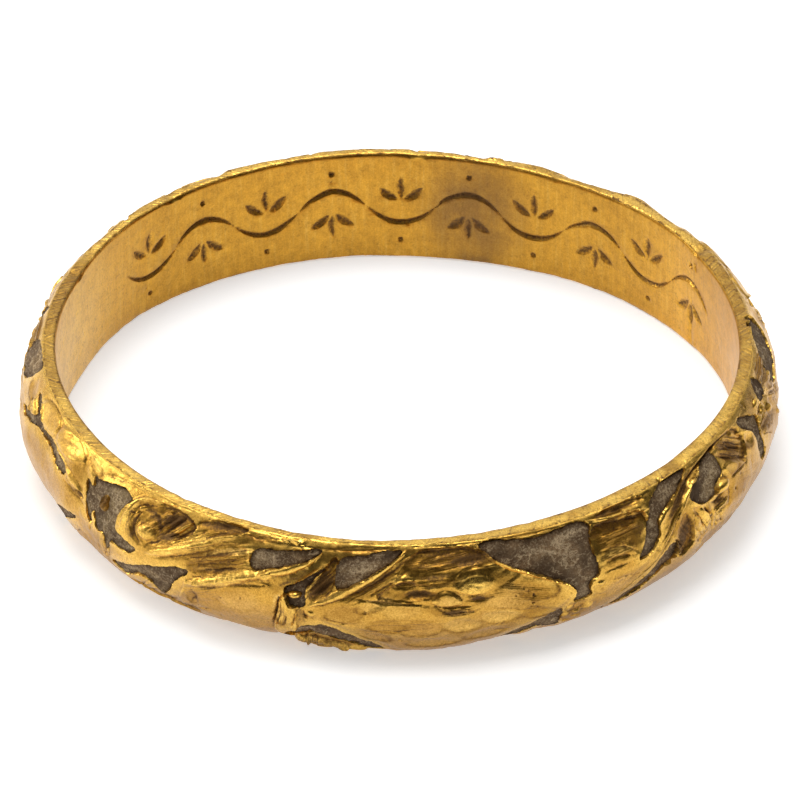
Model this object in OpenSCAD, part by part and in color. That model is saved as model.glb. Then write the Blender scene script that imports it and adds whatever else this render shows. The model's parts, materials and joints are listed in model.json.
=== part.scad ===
// Finger ring with carved leaves in relief and remains of enamel in the cells between them.
// The ring lies on its lower rim. The axis of the finger hole is Z, and the lower rim is at Z = 0.
// Angles run round the band in degrees from +X, and +X to the right puts 270 at the front.

/* [Band] */
// Inside diameter, which fits the finger
bore_d = 17.84; // [15.4:0.02:20.8]
// Height of the band along the finger
band_h = 3.18; // [2.9:0.02:3.6]
// Thickness of the wall at the middle of its height
wall_t = 1.08; // [1:0.01:1.3]
// Width of the flat rim at the upper and lower edge
rim_w = 0.35; // [0.3:0.01:0.42]
// Width of the break along both edges of the finger hole
edge_break = 0.05; // [0.02:0.01:0.08]

/* [Cells and enamel] */
// Depth of the cells at the middle of the height
cell_depth = 0.28; // [0.2:0.01:0.34]
// Depth of the ground round the leaves
ground_depth = 0.12; // [0.06:0.01:0.16]
// How far the enamel lies below the gold
enamel_sunk = 0.13; // [0.05:0.01:0.15]
// Gap all round each body of enamel
enamel_gap = 0.02; // [0.01:0.005:0.03]

/* [Carving] */
// Depth of the carved cuts, as a share of what the tables give
carving = 1; // [0.5:0.05:1.2]
// Opening of a carved cut, from its middle plane to its flank, in degrees
carve_flank = 62; // [45:1:66]

/* [Ornament in the hole] */
// Number of waves in the running stem
stem_waves = 5; // [3:1:6]
// Rise of the stem above the middle of the height
stem_rise = 0.5; // [0.4:0.02:0.6]
// Depth of the engraved cuts
engrave_depth = 0.07; // [0.04:0.005:0.09]
// Opening of an engraved cut, from its middle plane to its flank, in degrees
engrave_flank = 52; // [40:1:60]

/* [Hidden] */
$fn = 96;

bore_r = bore_d / 2;
face_r = bore_r + wall_t;
mid_z = band_h / 2;
// Height of the band for which the tables give their heights
drawn_h = 3.18;
// The design is carved twice round the band
REPEATS = [0, 180];

// Cells between the leaves, one outline a row: [angle, height above the middle of the band]
CELLS = [
    [[179.5, 0.95], [186.5, 1.0], [186, 1.42], [181, 1.48]],
    [[213.2, -0.25], [210.6, -0.3], [205.5, -0.9], [202.2, -1.35], [205.2, -1.38], [209.8, -0.8]],
    [[216.4, 1.28], [223, 1.4], [225.4, 1.3], [224.4, 0.4], [228.2, 0.22], [227.4, 0.02],
        [223.6, -0.04], [221.4, -0.34], [218.4, 0.08], [216, 0.25], [214.6, 0.9]],
    [[237.6, 0.22], [230.6, -0.12], [224.4, -0.7], [227, -0.82], [231, -0.75], [232.6, -1.08],
        [234.6, -0.62], [235.8, -0.14]],
    [[247.6, 0.75], [248.1, 1.2], [251, 1.29], [254, 1.3], [257.2, 1.42], [255, 1.08], [252, 0.92],
        [248.9, 0.6]],
    [[254, -0.1], [253.5, 0.32], [256, 0.74], [258.8, 1.04], [257.2, 0.58], [255.9, 0.3], [256.3, 0]],
    [[261, 0.64], [261.4, 1.28], [265, 1.38], [268.2, 1.42], [266.4, 1.1], [263.6, 0.76], [262.2, 0.58]],
    [[251.4, -1.2], [254.6, -0.86], [257.4, -0.62], [256.4, -0.96], [253.8, -1.28]],
    [[258.8, -0.56], [262, -0.74], [266.4, -1.12], [267.4, -1.38], [263, -1.36], [260.4, -1.0]],
    [[283, 1.44], [289, 1.36], [294, 1.28], [300.6, 1.42], [300.2, 1.0], [301, 0.5], [300.8, 0.1],
        [299.3, -0.34], [297, 0], [295, 0.3], [291, 0.6], [286.4, 1.06]],
    [[287, -1.32], [290, -0.96], [294.4, -0.5], [295.2, -0.9], [296, -1.34], [292, -1.12]],
    [[303.6, -1.2], [308, -0.74], [313, -0.24], [319.3, 0.5], [319.6, 0.04], [315, -0.5], [310, -0.92],
        [306, -1.32]],
    [[308, 0.14], [309.6, 0.5], [311, 0.86], [313.6, 1.3], [318, 1.48], [322.4, 1.48], [320.6, 1.28],
        [317, 1.16], [314, 0.86], [311.6, 0.34], [310.2, 0.08]],
    [[320.8, 0.84], [322, 1.08], [325.4, 1.28], [329.4, 1.38], [328.4, 0.9], [327, 0.58], [324, 0.52]],
    [[337.8, 1.34], [341, 1.4], [344.6, 1.05], [343.6, 0.5], [344.5, 0.02], [342, -0.02], [340, 0.7]],
    [[347.4, 1.04], [347.9, 1.46], [350.6, 1.46], [351, 1.08]],
];

// Ground cut away round the leaves, one outline a row: [angle, height]
GROUNDS = [
    [[225.9, 1.16], [227.4, 1.4], [236.6, 1.42], [237.4, 1.16], [233.2, 0.72], [229.4, 0.4], [226.2, 0.52]],
    [[257.2, 0.16], [256.9, 0.5], [258.6, 0.86], [260.2, 1.34], [261.4, 1.3], [260.7, 0.6], [259.4, 0.3]],
    [[271.4, 0.94], [272.8, 1.42], [282.2, 1.45], [285.2, 1.12], [281, 0.98], [276, 1.02]],
    [[301.3, 1.34], [308.6, 1.36], [310.2, 1.04], [308.4, 0.5], [307.2, 0.2], [301.5, 0.22], [301.9, 0.8]],
    [[330.3, 0.6], [330.2, 1.36], [337.2, 1.4], [338.8, 0.9], [336.8, 0.2], [332.6, 0.34]],
    [[352.4, 0.34], [352, 1.38], [358.8, 1.4], [358.6, 0.16]],
    [[208.8, -1], [213.4, -0.42], [223.6, -0.86], [221.4, -1.26], [213, -1.3]],
    [[321.4, -0.16], [334, -0.1], [342.4, -0.3], [338.4, -0.86], [325, -0.8]],
];

// Carved flutes and veins: [angle, height, slope in degrees, length, depth below the uncut face]
FLUTES = [
    [203.5, 1.3, 20, 1.4, 0.09], [198, -0.72, 12, 2.8, 0.1], [208.5, 0.62, 14, 2.2, 0.06],
    [218, -0.86, 16, 2.6, 0.18], [230, 1.04, 48, 1.1, 0.2], [234, 1.16, 48, 1.1, 0.2],
    [233.6, 0.64, 32, 2.2, 0.11], [237, 0.95, 22, 3.2, 0.11], [241, 1.02, 18, 3.6, 0.1],
    [241.4, 0.64, 18, 3.4, 0.1], [246.5, 0.38, 20, 3, 0.08], [258.2, 0.42, 42, 1.7, 0.2],
    [259.8, 0.86, 40, 1.6, 0.2], [266.6, 0.68, 28, 2.6, 0.11], [258.2, -1, 84, 0.9, 0.09],
    [275.6, 1.2, 8, 2.4, 0.21], [280.8, 1.24, -12, 2.4, 0.21], [288.2, 0.66, -32, 2, 0.07],
    [297, -0.84, 68, 0.7, 0.1], [304.8, 1.26, -4, 2.2, 0.19], [305, 0.98, -4, 2.2, 0.19],
    [305, 0.66, 3, 2.2, 0.19], [316.6, 0.52, 28, 2.4, 0.1], [331.6, 0.84, 60, 1.3, 0.2],
    [335.6, 1.02, 65, 1.3, 0.2], [329, 0.12, 18, 2.4, 0.09], [335.6, -0.42, 14, 2.8, 0.2],
    [354.6, 1, 24, 1.8, 0.2], [356.4, 0.54, 12, 2, 0.19], [352, -0.36, 26, 2, 0.1],
    [312.4, -1.12, 22, 2, 0.09], [276, -1.24, -4, 2.4, 0.09],
];

// Shallow scoops on the broad leaves: [angle, height, radius of the scoop, depth]
SCOOPS = [
    [274, 0.58, 0.34, 0.07], [279.4, 0.66, 0.36, 0.07], [277.4, 0.16, 0.34, 0.07],
    [283.4, 0.3, 0.36, 0.07], [270.4, 0.1, 0.32, 0.06], [273.6, -0.5, 0.36, 0.06],
    [245, -0.2, 0.36, 0.06], [204.6, 0.1, 0.38, 0.06],
];

// Nicks and dents worn into the rims: [angle, 1 for the upper rim or -1 for the lower, width, depth]
NICKS = [
    [131, 1, 0.6, 0.06], [86.5, 1, 0.7, 0.08], [28.4, 1, 0.5, 0.06],
    [202, -1, 0.8, 0.06], [254, -1, 0.9, 0.06], [335, -1, 0.8, 0.06], [352, -1, 0.6, 0.06],
];

// First and last angle of the ornament in the hole
ORNAMENT_FROM = 24;
ORNAMENT_TO = 143;
// Spray of leaves: length of a cut, lean of the outer two cuts, and how far below the middle they start
LEAF_LENGTH = 0.7;
LEAF_SPREAD = 54;
LEAF_FOOT = 0.16;
// How far a cutting wheel stands proud of the face that it cuts
WHEEL_PROUD = 0.06;

// Height above the middle of the band, for a height in the tables
function up(z) = z * band_h / drawn_h;

// Length round the face for an angle in degrees
function along(angle) = angle * PI / 180 * face_r;

function unit(v) = v / norm(v);

// Twice the signed area of a closed outline
function twice_area(p) =
    [for (i = [0 : len(p) - 1]) cross(p[i], p[(i + 1) % len(p)])] * [for (q = p) 1];

// An outline moved inwards by d along every side
function inset(p, d) =
    let (n = len(p), turn = sign(twice_area(p)))
    [for (i = [0 : n - 1])
        let (
            a = unit(p[i] - p[(i + n - 1) % n]),
            b = unit(p[(i + 1) % n] - p[i]),
            left = unit([-a.y - b.y, a.x + b.x])
        )
        p[i] + left * turn * d / (left * [-a.y, a.x])];

function mean_angle(p) = (p * [1, 0]) * [for (q = p) 1] / len(p);

// Radius of the arc that rises from the rim to the crown
function crown_arc(crown, rim) = (pow(mid_z, 2) + pow(crown - rim, 2)) / (2 * (crown - rim));

face_arc = crown_arc(wall_t, rim_w);

// Radius of a wheel that cuts to a depth and runs out at half the length, on a face of this curvature.
// The curvature is positive where the face bends away from the wheel.
function wheel_r(length, depth, curvature) =
    1 / max(0.08, 8 * depth / pow(length, 2) - curvature);

// Ring of D section with a wall of thickness crown at its middle and rim at its edges
module d_ring(crown, rim, bore) {
    arc = crown_arc(crown, rim);
    rotate_extrude()
        intersection() {
            translate([bore_r + crown - arc, mid_z])
                circle(r = arc);
            polygon([
                [bore, edge_break], [bore + edge_break, 0], [bore + crown + 1, 0],
                [bore + crown + 1, band_h], [bore + edge_break, band_h], [bore, band_h - edge_break],
            ]);
        }
}

// Puts children on the outside of the band: X runs round it, Y up its face and Z out of it
module on_face(angle, z) {
    tilt = asin(up(z) / face_arc);
    rotate([0, 0, angle])
        translate([face_r - face_arc, 0, mid_z])
            rotate([0, -tilt, 0])
                translate([face_arc, 0, 0])
                    rotate([90, 0, 90])
                        children();
}

// Puts children on the wall of the hole: X runs round it, Y up and Z out of the metal
module on_bore(angle, z) {
    rotate([0, 0, angle])
        translate([bore_r, 0, mid_z + up(z)])
            rotate([90, 0, -90])
                children();
}

// Stretch of a sharp-edged wheel, which cuts a groove along X that runs out at both ends
module wheel(r, length, depth, flank) {
    rise = depth + WHEEL_PROUD;
    reach = 2 * asin(min(0.9, (length / 2 + WHEEL_PROUD) / r));
    translate([0, 0, r - depth])
        rotate([-90, 90, 0])
            rotate([0, 0, -reach / 2])
                rotate_extrude(angle = reach)
                    polygon([[r - rise, -rise * tan(flank)], [r, 0], [r - rise, rise * tan(flank)]]);
}

module flute(row) {
    slope = row[2];
    curvature = pow(cos(slope), 2) / face_r + pow(sin(slope), 2) / face_arc;
    on_face(row[0], row[1])
        rotate([0, 0, slope])
            wheel(wheel_r(row[3], row[4], curvature), row[3], row[4] * carving, carve_flank);
}

module scoop(row) {
    r = wheel_r(2 * row[2], row[3], 1 / (2 * face_arc));
    on_face(row[0], row[1])
        translate([0, 0, r - row[3] * carving])
            sphere(r = r);
}

// Prism over one outline, from inside the wall to outside the face, its sides moved in by gap
module outline_prism(outline, gap) {
    middle = mean_angle(outline);
    flat = [for (q = outline) [along(q[0] - middle), up(q[1])]];
    rotate([0, 0, middle])
        translate([bore_r, 0, mid_z])
            rotate([90, 0, 90])
                linear_extrude(height = wall_t + 0.2)
                    polygon(gap > 0 ? inset(flat, gap) : flat);
}

module prisms(outlines, gap = 0) {
    for (turn = REPEATS, outline = outlines)
        rotate([0, 0, turn])
            outline_prism(outline, gap);
}

module rim_nick(row) {
    r = wheel_r(row[2], row[3], 0);
    rotate([0, 0, row[0]])
        translate([bore_r + rim_w, 0, mid_z + row[1] * (mid_z + r - row[3])])
            rotate([0, 90, 0])
                cylinder(h = 2 * rim_w, r = r, center = true);
}

// One half wave of the stem, which bends up where side is 1 and down where it is -1
module stem_bend(angle, half_wave, side) {
    chord = half_wave * PI / 180 * bore_r;
    arc = (pow(chord / 2, 2) + pow(stem_rise, 2)) / (2 * stem_rise);
    sweep = asin(chord / 2 / arc);
    w = engrave_depth * tan(engrave_flank);
    on_bore(angle, side * (stem_rise - arc))
        rotate([0, 0, (side > 0 ? 90 : 270) - sweep])
            rotate_extrude(angle = 2 * sweep)
                polygon([
                    [arc - 3 * w, 2 * engrave_depth],
                    [arc, -engrave_depth],
                    [arc + 3 * w, 2 * engrave_depth],
                ]);
}

// Three leaf cuts that fan out of one point in the hollow of a wave
module leaf_spray(angle, side) {
    r = wheel_r(LEAF_LENGTH, engrave_depth, 0);
    for (lean = [-LEAF_SPREAD, 0, LEAF_SPREAD])
        on_bore(angle, -side * LEAF_FOOT)
            rotate([0, 0, -side * (90 + lean)])
                translate([0.6 * LEAF_LENGTH, 0, 0])
                    wheel(r, LEAF_LENGTH, engrave_depth, engrave_flank);
}

module ornament() {
    half_wave = (ORNAMENT_TO - ORNAMENT_FROM) / (2 * stem_waves);
    for (i = [0 : 2 * stem_waves - 1]) {
        angle = ORNAMENT_FROM + (i + 0.5) * half_wave;
        side = i % 2 == 0 ? 1 : -1;
        stem_bend(angle, half_wave, side);
        leaf_spray(angle, side);
    }
}

// The gold ring
module band() {
    color("goldenrod")
        difference() {
            d_ring(wall_t, rim_w, bore_r);
            difference() {
                prisms(CELLS);
                d_ring(wall_t - cell_depth, rim_w - 0.05, bore_r - 1);
            }
            difference() {
                prisms(GROUNDS);
                d_ring(wall_t - ground_depth, rim_w - 0.02, bore_r - 1);
            }
            for (turn = REPEATS) {
                for (row = FLUTES)
                    rotate([0, 0, turn])
                        flute(row);
                for (row = SCOOPS)
                    rotate([0, 0, turn])
                        scoop(row);
            }
            for (row = NICKS)
                rim_nick(row);
            ornament();
        }
}

// What is left of the enamel, one body in each cell
module enamel() {
    color("dimgray")
        intersection() {
            prisms(CELLS, enamel_gap);
            difference() {
                d_ring(wall_t - enamel_sunk, rim_w - 0.02, bore_r);
                d_ring(wall_t - cell_depth + enamel_gap, rim_w - 0.03, bore_r - 1);
            }
        }
}

band();
enamel();
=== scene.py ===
"""Gold finger ring of D section, carved all round with leaves, with remains of enamel in the cells."""

import json
import math

import bpy
import numpy as np
from bpy.props import FloatProperty, FloatVectorProperty, IntProperty, PointerProperty
from mathutils import Matrix, Vector


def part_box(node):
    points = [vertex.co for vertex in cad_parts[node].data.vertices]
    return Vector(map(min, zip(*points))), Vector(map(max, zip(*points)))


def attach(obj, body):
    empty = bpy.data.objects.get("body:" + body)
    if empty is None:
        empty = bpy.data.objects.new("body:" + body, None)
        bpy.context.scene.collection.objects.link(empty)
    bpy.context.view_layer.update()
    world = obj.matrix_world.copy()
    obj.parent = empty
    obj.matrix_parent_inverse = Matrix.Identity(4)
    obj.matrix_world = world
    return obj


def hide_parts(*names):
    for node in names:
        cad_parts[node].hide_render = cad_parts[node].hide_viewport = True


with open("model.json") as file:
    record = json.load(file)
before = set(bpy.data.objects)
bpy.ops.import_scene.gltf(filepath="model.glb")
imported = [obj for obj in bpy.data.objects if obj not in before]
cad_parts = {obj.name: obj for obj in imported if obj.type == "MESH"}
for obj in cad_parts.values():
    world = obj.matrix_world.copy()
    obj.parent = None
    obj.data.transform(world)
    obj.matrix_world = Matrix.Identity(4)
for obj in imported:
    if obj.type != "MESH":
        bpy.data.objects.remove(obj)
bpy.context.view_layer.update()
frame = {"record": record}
BAND_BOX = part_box("band")
BORE = next(m for m in frame["record"]["mounts"] if m["name"] == "finger_bore")

bl_info = {
    "name": "Carved finger ring",
    "version": (1, 0, 0),
    "blender": (4, 5, 0),
    "location": "View3D > Sidebar > Ring",
    "description": "Builds a carved gold finger ring with enamel in its cells, and its stage",
    "category": "Mesh",
}

MM = 0.001

# The design is carved twice round the band: angles below are those of the half that holds 180 to 360
REPEATS = (0.0, 180.0)

# Outlines and lines below list their points as angle, height, angle, height

# Cells cut for the enamel: tint of the enamel from grey 0 to brown 1, outline
CELLS = (
    (0.45, (175.8, 0.7, 179, 0.62, 183.6, 0.78, 186.2, 1.1, 188.4, 1.54, 186.4, 1.59, 180, 1.56,
        176.8, 1.3)),
    (0.2, (192.2, 1.32, 193.4, 1.37, 195.6, 1.24, 197.6, 1.03, 199.2, 0.93, 202, 0.98, 206, 0.95,
        209.9, 0.82, 208.8, 0.6, 206, 0.6, 204.4, 0.74, 202, 0.78, 199.3, 0.8, 197, 0.84, 194.6, 0.68,
        192, 0.56, 190.2, 0.48, 187.8, 0.58, 190.5, 0.7, 193.6, 0.82, 195.4, 0.97, 194.2, 1.15)),
    (0.6, (213.2, -0.3, 211, -0.28, 208, -0.45, 205.6, -0.7, 203.5, -1, 200.5, -1.25, 203, -1.5, 205.5, -1.2,
        208, -0.85, 210.5, -0.6)),
    (0.05, (214.4, 1.02, 215.2, 0.75, 215.6, 0.45, 216.2, 0.1, 217.2, -0.12, 217.7, 0.1, 217.5, 0.35,
        218.2, 0.3, 218.6, 0, 219.5, -0.08, 220.6, 0.02, 221.2, -0.1, 220.8, -0.38, 221.6, -0.45,
        222.3, -0.1, 223.2, -0.08, 225.5, -0.08, 227.6, 0.02, 228.4, 0.18, 226, 0.27, 223.4, 0.32,
        223.5, 0.7, 224.1, 1.05, 225.4, 1.24, 224.4, 1.32, 223.2, 1.38, 221, 1.34, 219, 1.25, 217.4, 1.17,
        216.3, 1.25, 216, 1.15, 216.5, 0.92, 215.4, 1)),
    (0.35, (238.1, 0.24, 235.5, 0.18, 232, -0.04, 229, -0.28, 226.4, -0.46, 223.5, -0.7, 221, -0.9,
        223.4, -1.1, 225.4, -1, 227, -0.74, 229.5, -0.66, 230.8, -0.85, 232, -1.1, 233.4, -0.85,
        234.8, -0.45, 236, -0.12, 237.4, 0.05)),
    (0.4, (247.6, 0.95, 247.9, 1.18, 249, 1.28, 251.5, 1.29, 254, 1.33, 256.2, 1.4, 257.6, 1.46, 258.9, 1.43,
        257.4, 1.28, 255.8, 1.1, 253.5, 0.98, 251, 0.88, 249.4, 0.74, 248.6, 0.7, 247.8, 0.82)),
    (1, (253.2, 0.4, 255, 0.6, 256.6, 0.78, 258.2, 0.98, 259.6, 1.14, 258.2, 0.82, 257, 0.6, 256.4, 0.42,
        256.6, 0.1, 256, -0.06, 254.4, -0.06, 254, 0.1)),
    (0.5, (260.9, 0.62, 261, 1, 261.2, 1.34, 263, 1.36, 266, 1.43, 269, 1.5, 271, 1.52, 270, 1.36, 268, 1.15,
        266, 0.96, 264, 0.76, 262.4, 0.6)),
    (0.9, (252.6, -1.15, 254, -0.92, 256, -0.7, 258, -0.56, 260, -0.58, 262, -0.76, 264.5, -0.98,
        266.6, -1.18, 268.8, -1.5, 266, -1.5, 263.6, -1.3, 261, -1.12, 259, -0.98, 257.4, -0.92,
        255.6, -1.02, 254, -1.2)),
    (0.8, (282.2, 1.5, 284, 1.3, 286.4, 1.02, 289, 0.84, 291.6, 0.6, 294, 0.38, 295.8, 0.2, 297, 0.02,
        297.2, -0.2, 296.6, -0.42, 298.4, -0.45, 300, -0.4, 299.4, -0.15, 299.6, 0.06, 300.9, 0.14,
        301.2, 0.4, 300.7, 0.7, 300.3, 1, 300.6, 1.25, 301.2, 1.46, 299, 1.55, 296.5, 1.52, 293, 1.47,
        290, 1.49, 287, 1.54, 284, 1.57)),
    (0.6, (285.5, -1.42, 287.5, -1.15, 290, -0.92, 292.6, -0.68, 295, -0.46, 295.4, -0.8, 295, -1.1,
        296, -1.4, 293.5, -1.32, 292, -1.1, 290.2, -1.2, 289, -1.45)),
    (0.9, (303.2, -1.32, 305.5, -0.98, 308, -0.7, 311, -0.4, 313.6, -0.02, 315, 0.1, 316.4, 0.02, 316, -0.3,
        313, -0.62, 310, -0.92, 307, -1.2, 305, -1.42)),
    (0.45, (307.9, 0.16, 308.8, 0.1, 310.2, 0.12, 312.8, 0.45, 312.6, 0.75, 313.4, 0.95, 316.6, 1.14,
        319.4, 1.32, 321.4, 1.48, 322.6, 1.585, 318.5, 1.585, 315.6, 1.58, 314, 1.46, 312.6, 1.34,
        311.4, 1.1, 310.4, 0.78, 309.4, 0.5)),
    (0.3, (320.2, 0.98, 320.8, 1.14, 323.4, 1.17, 324.6, 1.32, 326.8, 1.42, 329.2, 1.46, 329.3, 1.12,
        329.2, 0.86, 327.2, 0.76, 326.2, 0.5, 324, 0.5, 322, 0.62, 320.7, 0.78)),
    (0.55, (337.8, 1.46, 340, 1.42, 342.4, 1.2, 344.6, 1.06, 343.8, 0.9, 343.4, 0.7, 343.6, 0.3,
        344.8, -0.05, 344, -0.2, 342.6, -0.14, 341.9, 0.2, 341.5, 0.6, 341, 0.92, 339.6, 1.12, 338.4, 1.28)),
    (1, (347.4, 1.1, 347.7, 1.35, 348.6, 1.5, 350.2, 1.58, 351, 1.45, 351.2, 1.2, 350.6, 1.05, 348.8, 1.06)),
)

# Ground cut away round the leaves on a slant: depth in mm at its deep side, which way that side lies in
# degrees (0 to the right, 90 to the upper rim), outline
GROUNDS = (
    (0.15, 60, (225.9, 1.1, 227.4, 1.4, 232, 1.5, 236.4, 1.45, 238.4, 1.2, 234, 0.75, 231, 0.4, 229.4, 0.34,
        226.6, 0.42, 225.6, 0.8)),
    (0.17, 20, (257, 0.1, 256.9, 0.45, 258.6, 0.86, 260.4, 1.36, 261.2, 1.3, 260.7, 0.6, 259.4, 0.3)),
    (0.13, 90, (269.6, 0.86, 272.2, 1.5, 277, 1.54, 282, 1.5, 285.6, 1.14, 283, 1.05, 279.6, 1.03,
        277.6, 0.88, 275, 0.86)),
    (0.08, 130, (266, 0.4, 270, 0.86, 274, 0.9, 277.6, 0.82, 277.5, 0.55, 275.5, 0.4, 274, 0.3, 271, 0.3)),
    (0.16, 95, (300.6, 1.36, 305, 1.39, 310.6, 1.32, 311.4, 1.04, 309.6, 0.45, 308, 0.1, 301, 0.1,
        300.6, 0.8)),
    (0.1, 90, (302.4, 1.42, 303, 1.56, 307, 1.585, 311.4, 1.57, 312.4, 1.4, 311, 1.36, 306, 1.45)),
    (0.12, 90, (315.8, 0.86, 317, 1.1, 320, 1.32, 325, 1.46, 331, 1.54, 329.6, 1.44, 325, 1.32, 322, 1.27,
        319.5, 1.1, 317.6, 0.85)),
    (0.13, 350, (314.8, 0.1, 316.4, 0.34, 318.4, 0.74, 319.4, 0.5, 320, 0, 320.2, -0.4, 317.6, -0.62,
        315.6, -0.3)),
    (0.07, 200, (319.8, 0.7, 322, 0.55, 326.4, 0.46, 329.6, 0.5, 329.4, -0.1, 328.4, -0.6, 324, -0.75,
        320.4, -0.4)),
    (0.1, 10, (329.8, 1.5, 333, 1.52, 337.6, 1.42, 338.4, 1, 336.6, 0.46, 333.6, 0.8, 330, 1)),
    (0.11, 90, (237.6, 1.38, 240, 1.54, 243.4, 1.58, 246.8, 1.57, 245.4, 1.43, 242.4, 1.25, 239.4, 1.14)),
    (0.1, 110, (343.8, 0.8, 344.8, 1.1, 347.4, 1.1, 351, 1.02, 353, 0.7, 350, 0.35, 346, 0.3, 343.8, 0.5)),
    (0.09, 270, (223.4, -1, 230.6, -0.9, 237.4, -0.85, 239, -1.3, 236, -1.54, 226, -1.54)),
    (0.08, 180, (295.2, -0.5, 298.6, -0.46, 301.6, -0.7, 301.4, -1.1, 298.6, -1.35, 295.6, -1.3)),
    (0.1, 90, (206.6, -1.48, 210, -1.1, 213.6, -0.62, 219, -0.95, 221.4, -1.3, 216, -1.52)),
    (0.09, 90, (321.4, -0.66, 328.6, -0.6, 334, -0.72, 340, -1, 334, -1.4, 324, -1.3)),
    (0.1, 170, (352.4, 0.5, 353.6, 0.74, 357.6, 0.66, 360.4, 0.3, 358.6, -0.3, 354.4, -0.2)),
    (0.22, 40, (231.4, 0.9, 232.2, 0.66, 234, 0.86, 235.4, 1.04, 234.2, 1.02, 232.8, 0.98)),
    (0.2, 60, (231.6, 1.1, 233, 1.42, 235.8, 1.42, 234.4, 1.12, 233, 1.06)),
    (0.05, 75, (236.6, 0.62, 240, 0.98, 246, 1.26, 248.2, 0.9, 243, 0.6, 238, 0.34)),
)

# How far the face is worn in or bulges out, in mm along the radius: angle and amount, for its upper edge,
# its middle and its lower edge
UPPER_EDGE = (
    (0, 0), (20, 0.04), (29, 0.08), (33, 0.04), (40, 0), (44, 0.08), (47, 0.12), (51, 0), (54, -0.1),
    (57, -0.15), (60, -0.14), (62, -0.1), (65, 0), (72, -0.05), (76, -0.14), (79, -0.1), (82, -0.04),
    (88, 0.05), (91, 0.03), (96, 0.08), (103, 0.12), (109, 0.05), (113, 0.1), (119, 0.15), (121, 0.02),
    (124, 0.05), (130, 0.15), (133, 0.1), (137, 0.12), (141, 0.05), (146, 0), (200, 0), (340, 0),
)
MIDDLE = (
    (0, 0), (143, 0), (147, -0.06), (151, -0.06), (154, -0.14), (157, -0.15), (161, -0.1), (164, -0.16),
    (168, -0.18), (171, -0.18), (176, -0.12), (187, -0.1), (194, -0.09), (198, -0.15), (202, -0.19),
    (206, -0.12), (210.6, -0.09), (214, -0.17), (217.5, -0.12), (221, -0.06), (226, 0), (310, 0),
    (316, -0.06), (320, -0.05), (323, -0.08), (327, -0.14), (331, -0.1), (334, -0.07), (338, -0.13),
    (342, -0.1), (347, -0.05), (351, -0.05), (354, 0.02), (357, -0.05),
)
LOWER_EDGE = (
    (0, 0), (143, 0), (164, -0.12), (202, -0.15), (226, 0), (248, -0.02), (250.5, -0.1), (251.6, -0.2),
    (254, -0.2), (254.8, -0.05), (256, 0), (262, 0), (266, 0.06), (270, 0.12), (276, 0.12), (280, 0.05),
    (283, -0.06), (291, -0.08), (297, -0.03), (303, -0.06), (310, -0.08), (323, -0.1), (327, -0.15),
    (335, -0.1), (340, -0.15), (347, -0.08), (353, 0),
)

# How far the wall of the hole lies off its circle, in mm outwards: angle and amount, for its top and its foot
HOLE_TOP = (
    (0, 0), (26, 0.02), (35, 0.08), (43, 0.05), (52, 0), (60, -0.03), (75, 0.02), (82, 0.06), (90, 0.13),
    (97, 0.16), (106, 0.18), (114, 0.17), (126, 0.17), (138, 0.14), (145, 0.1), (160, -0.02), (180, 0),
    (208, -0.06), (225, 0), (240, 0.03), (256, 0.08), (264, 0.11), (270, 0.05), (276, 0), (284, -0.04),
    (291, -0.11), (303, -0.13), (310, -0.16), (318, -0.12), (327, -0.11), (334, -0.07), (343, -0.03),
)
HOLE_FOOT = (
    (0, 0), (17, 0.12), (26, 0.14), (33, 0.1), (49, 0.07), (57, 0.03), (61, 0), (69, -0.11), (83, -0.15),
    (90, -0.13), (96, -0.06), (110, 0), (122, 0.08), (130, 0.11), (140, 0.17), (145, 0.13), (152, 0.06),
    (160, -0.02), (180, 0),
)

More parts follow.
